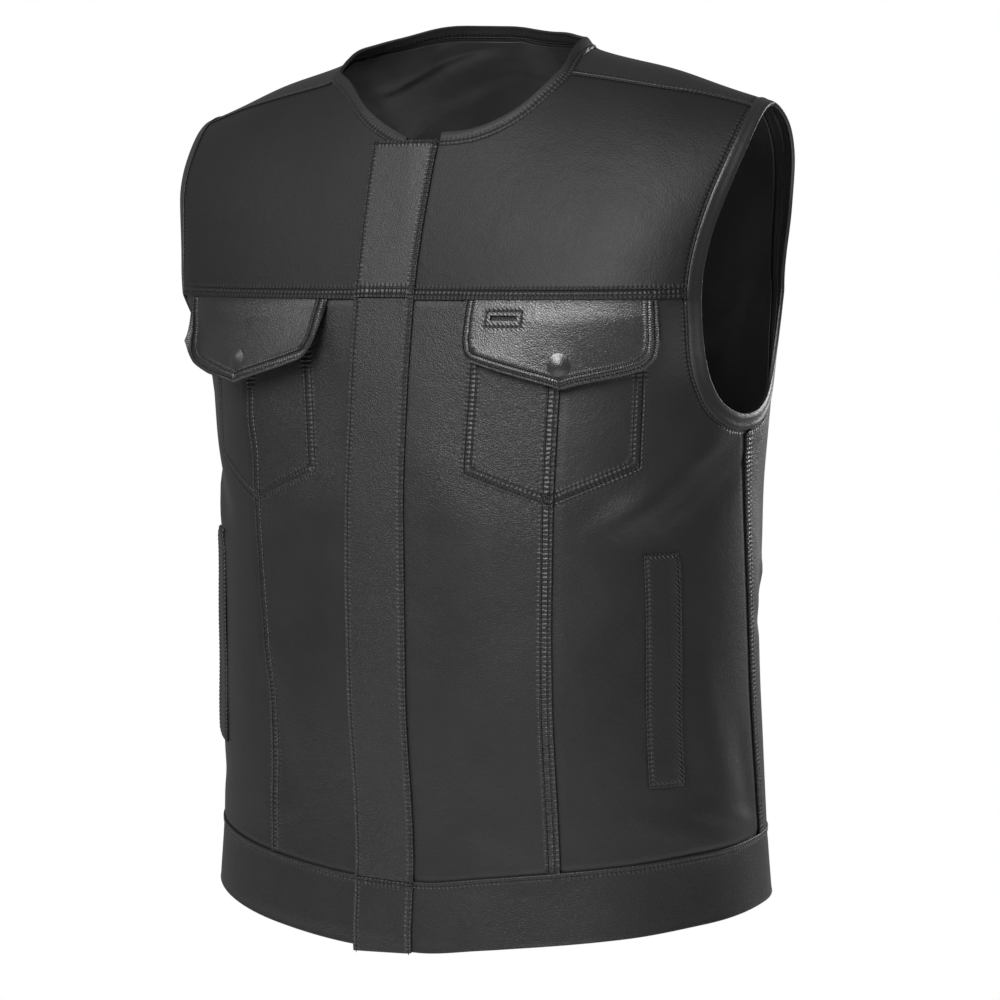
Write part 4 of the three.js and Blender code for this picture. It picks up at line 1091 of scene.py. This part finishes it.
# The waistband: one strip of the hide round the whole hem, 50 mm deep and turned up at the bottom. Its top
# edge is rolled over the ends of the panels and sewn with one row.
WAIST_OVER = 1
WAIST_ROW = 3.4
waist_girth = half_girth(BAND_DEPTH / 2)


def around(across):
    """Distance round the band from the middle of the front, less than nothing on the wearer's right"""
    return np.where(across > waist_girth, across - 2 * waist_girth, across)


def on_waist(across, height):
    return on_form(body_point, 1, around(across) * half_girth(height) / waist_girth, height)


def waist_cut(u, v):
    across = FRONT_MEETING + FRONT_GAP + 2 * (waist_girth - FRONT_GAP) * u
    low = hem_height(around(across))
    return np.stack([across, low + (BAND_DEPTH + WAIST_OVER) * v], axis=-1)


waist_stations = np.linspace(FRONT_MEETING, FRONT_MEETING + 2 * waist_girth, 200)
waist_top_height = waist_height(around(waist_stations)) + WAIST_OVER
waist_top = seam_on(on_waist, np.stack([waist_stations, waist_top_height], axis=-1))
hem_line = seam_on(on_waist, np.stack([waist_stations, hem_height(around(waist_stations))], axis=-1))
leather_waistband = leather("leather_waistband", [("top", (WAIST_ROW,))], grain=1.1)
waistband = laid(
    "waist_strip", 330, 20, waist_cut, on_waist, (leather_waistband,), replaces="waistband", thickness=2.6,
    rounding=1.1, edges={"top": waist_top, "hem": hem_line},
    lift=lambda spots, far: (over_seam(np.abs(far["top"] - 1.2), 0.9, 4) + over_seam(far["hem"], 0.3, 3)
                             + 0.35 * np.sin(spots[:, 0] / 23) * smooth_step((far["top"] - 3) / 12)))
stitches("stitches_waist", [(waistband, waist_top, WAIST_ROW)])

# The chest pocket flaps: pointed pieces of doubled hide that hang from under the yoke's edge, with two rows
# round the rim. The left one has a sewn slot for a pen. Each is held by a snap covered with the leather.
FLAP_START, FLAP_END, FLAP_TOP = 57.5, 197.5, YOKE_SEAM - 0.4
FLAP_ROWS = (2.0, 7.4)
DRAWN_IN, DRAWN_BY = 2.5, 45
SLOT = {"left": 79.0, "right": 99.0, "bottom": 443.6, "top": 447.4}
SLOT_BORDER = (75.9, 102.5, 439.6, 450.7)
SNAP = {"across": 129.7, "height": 414.0, "radius": 8.4, "rise": 2.2, "under": 0.5, "swell": 0.9,
        "reach": 11}
OFF_FRONT = {"everywhere": 0.8, "bend": 1.6, "bend_share": 0.3, "curl": 0.8, "curl_length": 22}
flap_stands_off = {"left": 5.0, "right": 16.0}
flap_bottom = read_table((57.5, 60, 65, 72, 122, 129.7, 137.5, 186, 192, 195.5, 197.5),
                         (430, 420, 415, 412.6, 399, 396.6, 398.8, 411, 415.5, 421, 430))
flap_stations = np.linspace(FLAP_START, FLAP_END, 300)
flap_rim = np.stack([flap_stations, flap_bottom(flap_stations)], axis=-1)
flap_outline = dense(np.vstack([[(FLAP_START, FLAP_TOP)], flap_rim, [(FLAP_END, FLAP_TOP)]]), 0.5)


def box_round(left, right, bottom, top):
    """The corners round an upright box on the flat, and back to the first one"""
    return np.array([(left, bottom), (right, bottom), (right, top), (left, top), (left, bottom)])


# The slot's border is sewn from the middle of its lower side, and round to it again
slot_corners = box_round(*SLOT_BORDER)
slot_start = [(slot_corners[0] + slot_corners[1]) / 2]
slot_border = dense(np.vstack([slot_start, slot_corners[1:], slot_start]), 0.5)
flap_skin = leather("leather_flap", [("rim", FLAP_ROWS), ("slot", (0.0,))], grain=1.2, pucker=0.9, roll=1.6,
                    rough_least=0.17, gloss=0.8)
leather_snap = leather("leather_snap", grain=0.8, rough_least=0.15, gloss=1.0)


def flap_cut(u, v):
    across = FLAP_START + (FLAP_END - FLAP_START) * u
    height = flap_bottom(across) + (FLAP_TOP - flap_bottom(across)) * v
    drawn_in = DRAWN_IN * (1 - u) * smooth_step((FLAP_TOP - height) / DRAWN_BY)
    return np.stack([across + drawn_in, height], axis=-1)


def off_slot(spots):
    """Distance out from the stitched border of the pen slot, and a measure that runs on round its corners"""
    middle, half_size = (slot_corners[0] + slot_corners[2]) / 2, (slot_corners[2] - slot_corners[0]) / 2
    off = np.abs(spots - middle) - half_size
    return np.max(off, axis=1), spots.sum(axis=1)


def cut_pen_slot(flat):
    """Cuts the flat flap along the slot's four sides and takes the piece between them out"""
    for place, direction in (((SLOT["left"], 0, 0), (1, 0, 0)), ((SLOT["right"], 0, 0), (1, 0, 0)),
                             ((0, SLOT["bottom"], 0), (0, 1, 0)), ((0, SLOT["top"], 0), (0, 1, 0))):
        everything = [*flat.verts, *flat.edges, *flat.faces]
        bmesh.ops.bisect_plane(flat, geom=everything, plane_co=place, plane_no=direction)
    hole = [face for face in flat.faces
            if SLOT["left"] < face.calc_center_median().x < SLOT["right"]
            and SLOT["bottom"] < face.calc_center_median().y < SLOT["top"]]
    bmesh.ops.delete(flat, geom=hole, context="FACES")


for side, sign in (("left", 1), ("right", -1)):
    def flap_lift(spots, far=None):
        """The flap bends over its root and stands off towards its point, with the snap's swell under it"""
        across = np.abs(spots[:, 0])
        down = np.clip((FLAP_TOP - spots[:, 1]) / (FLAP_TOP - flap_bottom(across)), 0, 1)
        from_snap = np.hypot(across - SNAP["across"], spots[:, 1] - SNAP["height"])
        bend = OFF_FRONT["bend"] * smooth_step(down / OFF_FRONT["bend_share"])
        curl = OFF_FRONT["curl"] * np.sin((across - FLAP_START) / OFF_FRONT["curl_length"]) * down**2
        swell = SNAP["swell"] * np.exp(-((from_snap / SNAP["reach"]) ** 2))
        return OFF_FRONT["everywhere"] + bend + flap_stands_off[side] * down**1.4 + curl + swell

    def on_flap(spots):
        points, normals = on_front(spots[:, 0], spots[:, 1])
        return points + normals * flap_lift(spots)[:, None]

    flap = laid(
        f"chest_flap_{side}", 84, 38, handed(flap_cut, sign), on_front, (flap_skin,),
        replaces=f"flap_{side}", thickness=1.9, rounding=0.7, lift=flap_lift,
        trim=cut_pen_slot if side == "left" else None,
        edges={"rim": lambda spots: from_line(spots * (sign, 1), flap_outline), "slot": off_slot})
    flap_rows = []
    for offset in FLAP_ROWS:
        row = inset(flap_outline, offset)
        row = row[from_line(row, flap_outline)[0] > offset - 0.3]
        flap_rows.append((flap, on_flap(row * (sign, 1)), 0))
    if side == "left":
        flap_rows.append((flap, on_flap(slot_border), 0))
    stitches(f"stitches_flap_{side}", flap_rows)

    centre_spot = np.array([(SNAP["across"] * sign, SNAP["height"])])
    middle, right, up = (on_flap(centre_spot + step)[0] for step in ((0, 0), (1, 0), (0, 1)))
    outward = Vector(np.cross(right - middle, up - middle)).normalized()
    cap = bmesh.new()
    bmesh.ops.create_uvsphere(cap, u_segments=32, v_segments=16, radius=1)
    for vert in cap.verts:
        spread = min(math.hypot(vert.co.x, vert.co.y), 1)
        crown, underside = SNAP["rise"] * (1 - spread**2) ** 1.4, -SNAP["under"] * (1 - spread**2)
        vert.co.z = crown if vert.co.z > 0 else underside
        vert.co.xy *= SNAP["radius"]
    bmesh.ops.scale(cap, vec=(0.001,) * 3, verts=cap.verts)
    turn = outward.to_track_quat("Z", "Y").to_matrix().to_4x4()
    bmesh.ops.transform(cap, matrix=Matrix.Translation((middle - ORIGIN) / 1000) @ turn, verts=cap.verts)
    for face in cap.faces:
        face.smooth = True
    snap_mesh = bpy.data.meshes.new(f"snap_cap_{side}")
    cap.to_mesh(snap_mesh)
    cap.free()
    snap_cap = put_in_scene(f"snap_cap_{side}", snap_mesh, (leather_snap,))
    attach(snap_cap, "root")
    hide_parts(f"snap_{side}")

# The hand pocket welts: upright strips of the hide, sewn on all round. The pocket opens along the outer edge,
# which stands a little off the side panel but for 8 mm at each end.
WELT = {"inner": 192.0, "outer": 219.0, "bottom": 113.0, "top": 279.5}
WELT_ROW = 1.9
MOUTH_ENDS = 8
welt_corners = box_round(*WELT.values())
welt_border = dense(welt_corners, 0.5)
welt_row = inset(np.vstack([welt_corners[-2:-1], welt_corners, welt_corners[1:2]]), WELT_ROW)[1:-1]
welt_skin = leather("leather_welt", [("border", (WELT_ROW,))], pucker=1.5)
for side, sign in (("left", 1), ("right", -1)):
    def welt_cut(u, v):
        return np.stack([WELT["inner"] + (WELT["outer"] - WELT["inner"]) * u,
                         WELT["bottom"] + (WELT["top"] - WELT["bottom"]) * v], axis=-1)

    mouth = seam_on(on_front, [(WELT["outer"] * sign, WELT["bottom"] + MOUTH_ENDS),
                               (WELT["outer"] * sign, WELT["top"] - MOUTH_ENDS)])
    strip = laid(
        f"welt_strip_{side}", 16, 62, handed(welt_cut, sign), on_front, (welt_skin,),
        replaces=f"welt_{side}", thickness=1.5, rounding=0.7,
        lift=lambda spots, far: (2.2 - over_seam(far["border"], 0.8, 4) + over_seam(far["mouth"], 1.4, 9)
                                 + 0.3 * np.sin(spots[:, 1] / 15)),
        edges={"border": lambda spots: (from_line(spots * (sign, 1), welt_border)[0], spots.sum(axis=1)),
               "mouth": mouth})
    stitches(f"stitches_welt_{side}", [(strip, seam_on(on_front, welt_row * (sign, 1)), 0)])

# The studio: a plain white floor below the vest, soft light all round, and three soft lamps. The main one
# stands in front of the vest and above it, and the others light its right side and its back.
FLOOR = {"radius": 1.9, "height": -1.45, "glow": 0.5}
SOFT_LIGHT = 0.26
WHITE = (1.0, 1.0, 1.0, 1.0)
floor_mesh = bmesh.new()
bmesh.ops.create_circle(floor_mesh, cap_ends=True, segments=96, radius=FLOOR["radius"])
bmesh.ops.translate(floor_mesh, verts=floor_mesh.verts, vec=(0, 0, FLOOR["height"]))
floor_data = bpy.data.meshes.new("studio_floor")
floor_mesh.to_mesh(floor_data)
floor_mesh.free()
floor_paint, floor_start, floor_shader = new_material("pale_floor")
floor_grain = floor_start.node("ShaderNodeTexNoise", (), {
    "Vector": floor_start.node("ShaderNodeTexCoord", output=3), "Scale": 2.0, "Detail": 2.0})
floor_shader.inputs["Emission Color"].default_value = WHITE
floor_shader.inputs["Emission Strength"].default_value = FLOOR["glow"]
finish(floor_start, floor_shader, floor_grain.mix((0.86, 0.86, 0.86, 1.0), (0.9, 0.9, 0.9, 1.0)),
       floor_grain * 0.1 + 0.8, floor_grain * 0.1, 0.2)
put_in_scene("studio_floor", floor_data, (floor_paint,))

world = bpy.data.worlds.new("studio_light")
world.use_nodes = True
sky = world.node_tree.nodes["Background"]
sky.inputs["Color"].default_value = WHITE
sky.inputs["Strength"].default_value = SOFT_LIGHT
backdrop = world.node_tree.nodes.new("ShaderNodeBackground")
backdrop.inputs["Color"].default_value = WHITE
seen = world.node_tree.nodes.new("ShaderNodeLightPath")
either = world.node_tree.nodes.new("ShaderNodeMixShader")
world.node_tree.links.new(seen.outputs["Is Camera Ray"], either.inputs[0])
world.node_tree.links.new(sky.outputs[0], either.inputs[1])
world.node_tree.links.new(backdrop.outputs[0], either.inputs[2])
world.node_tree.links.new(either.outputs[0], world.node_tree.nodes["World Output"].inputs[0])
bpy.context.scene.world = world
bpy.context.scene.view_settings.view_transform = "Standard"

AIM = Vector((0, 0.020, -0.303))


def lamp(name, azimuth, elevation, distance, size, power):
    """A square soft lamp that faces the vest from a direction in degrees"""
    turn, climb = math.radians(azimuth), math.radians(elevation)
    away = Vector((math.sin(turn) * math.cos(climb), -math.cos(turn) * math.cos(climb), math.sin(climb)))
    light = bpy.data.lights.new(name, "AREA")
    light.size, light.energy = size, power
    thing = bpy.data.objects.new(name, light)
    facing = away.to_track_quat("Z", "Y").to_matrix().to_4x4()
    thing.matrix_world = Matrix.Translation(AIM + away * distance) @ facing
    bpy.context.scene.collection.objects.link(thing)


lamp("key_lamp", 4, 33, 2.6, 1.3, 72)
lamp("side_lamp", -48, 38, 2.8, 0.8, 9)
lamp("back_lamp", 158, 9, 2.8, 1.1, 36)

# The camera stands at chest height, 29 degrees round to the wearer's left, and looks slightly down.
AZIMUTH, ELEVATION, ROLL = math.radians(29.33), math.radians(5.91), math.radians(-0.913)
FOCAL_PIXELS, CENTRE_X, CENTRE_Y, FRAME_PIXELS = 2516.0, 487.36, 453.23, 1000.0
CAMERA_DISTANCE, SENSOR_WIDTH = 1.922, 36
toward = Vector((math.sin(AZIMUTH) * math.cos(ELEVATION), -math.cos(AZIMUTH) * math.cos(ELEVATION),
                 math.sin(ELEVATION)))
level_right = Vector((math.cos(AZIMUTH), math.sin(AZIMUTH), 0))
level_up = toward.cross(level_right)
right = level_right * math.cos(ROLL) + level_up * math.sin(ROLL)
turned = Matrix((right, toward.cross(right), toward)).transposed().to_4x4()
lens = bpy.data.cameras.new("camera")
lens.sensor_width = SENSOR_WIDTH
lens.lens = SENSOR_WIDTH * FOCAL_PIXELS / FRAME_PIXELS
lens.shift_x, lens.shift_y = 0.5 - CENTRE_X / FRAME_PIXELS, CENTRE_Y / FRAME_PIXELS - 0.5
camera = bpy.data.objects.new("camera", lens)
camera.matrix_world = Matrix.Translation(AIM + toward * CAMERA_DISTANCE) @ turned
bpy.context.scene.collection.objects.link(camera)
bpy.context.scene.camera = camera
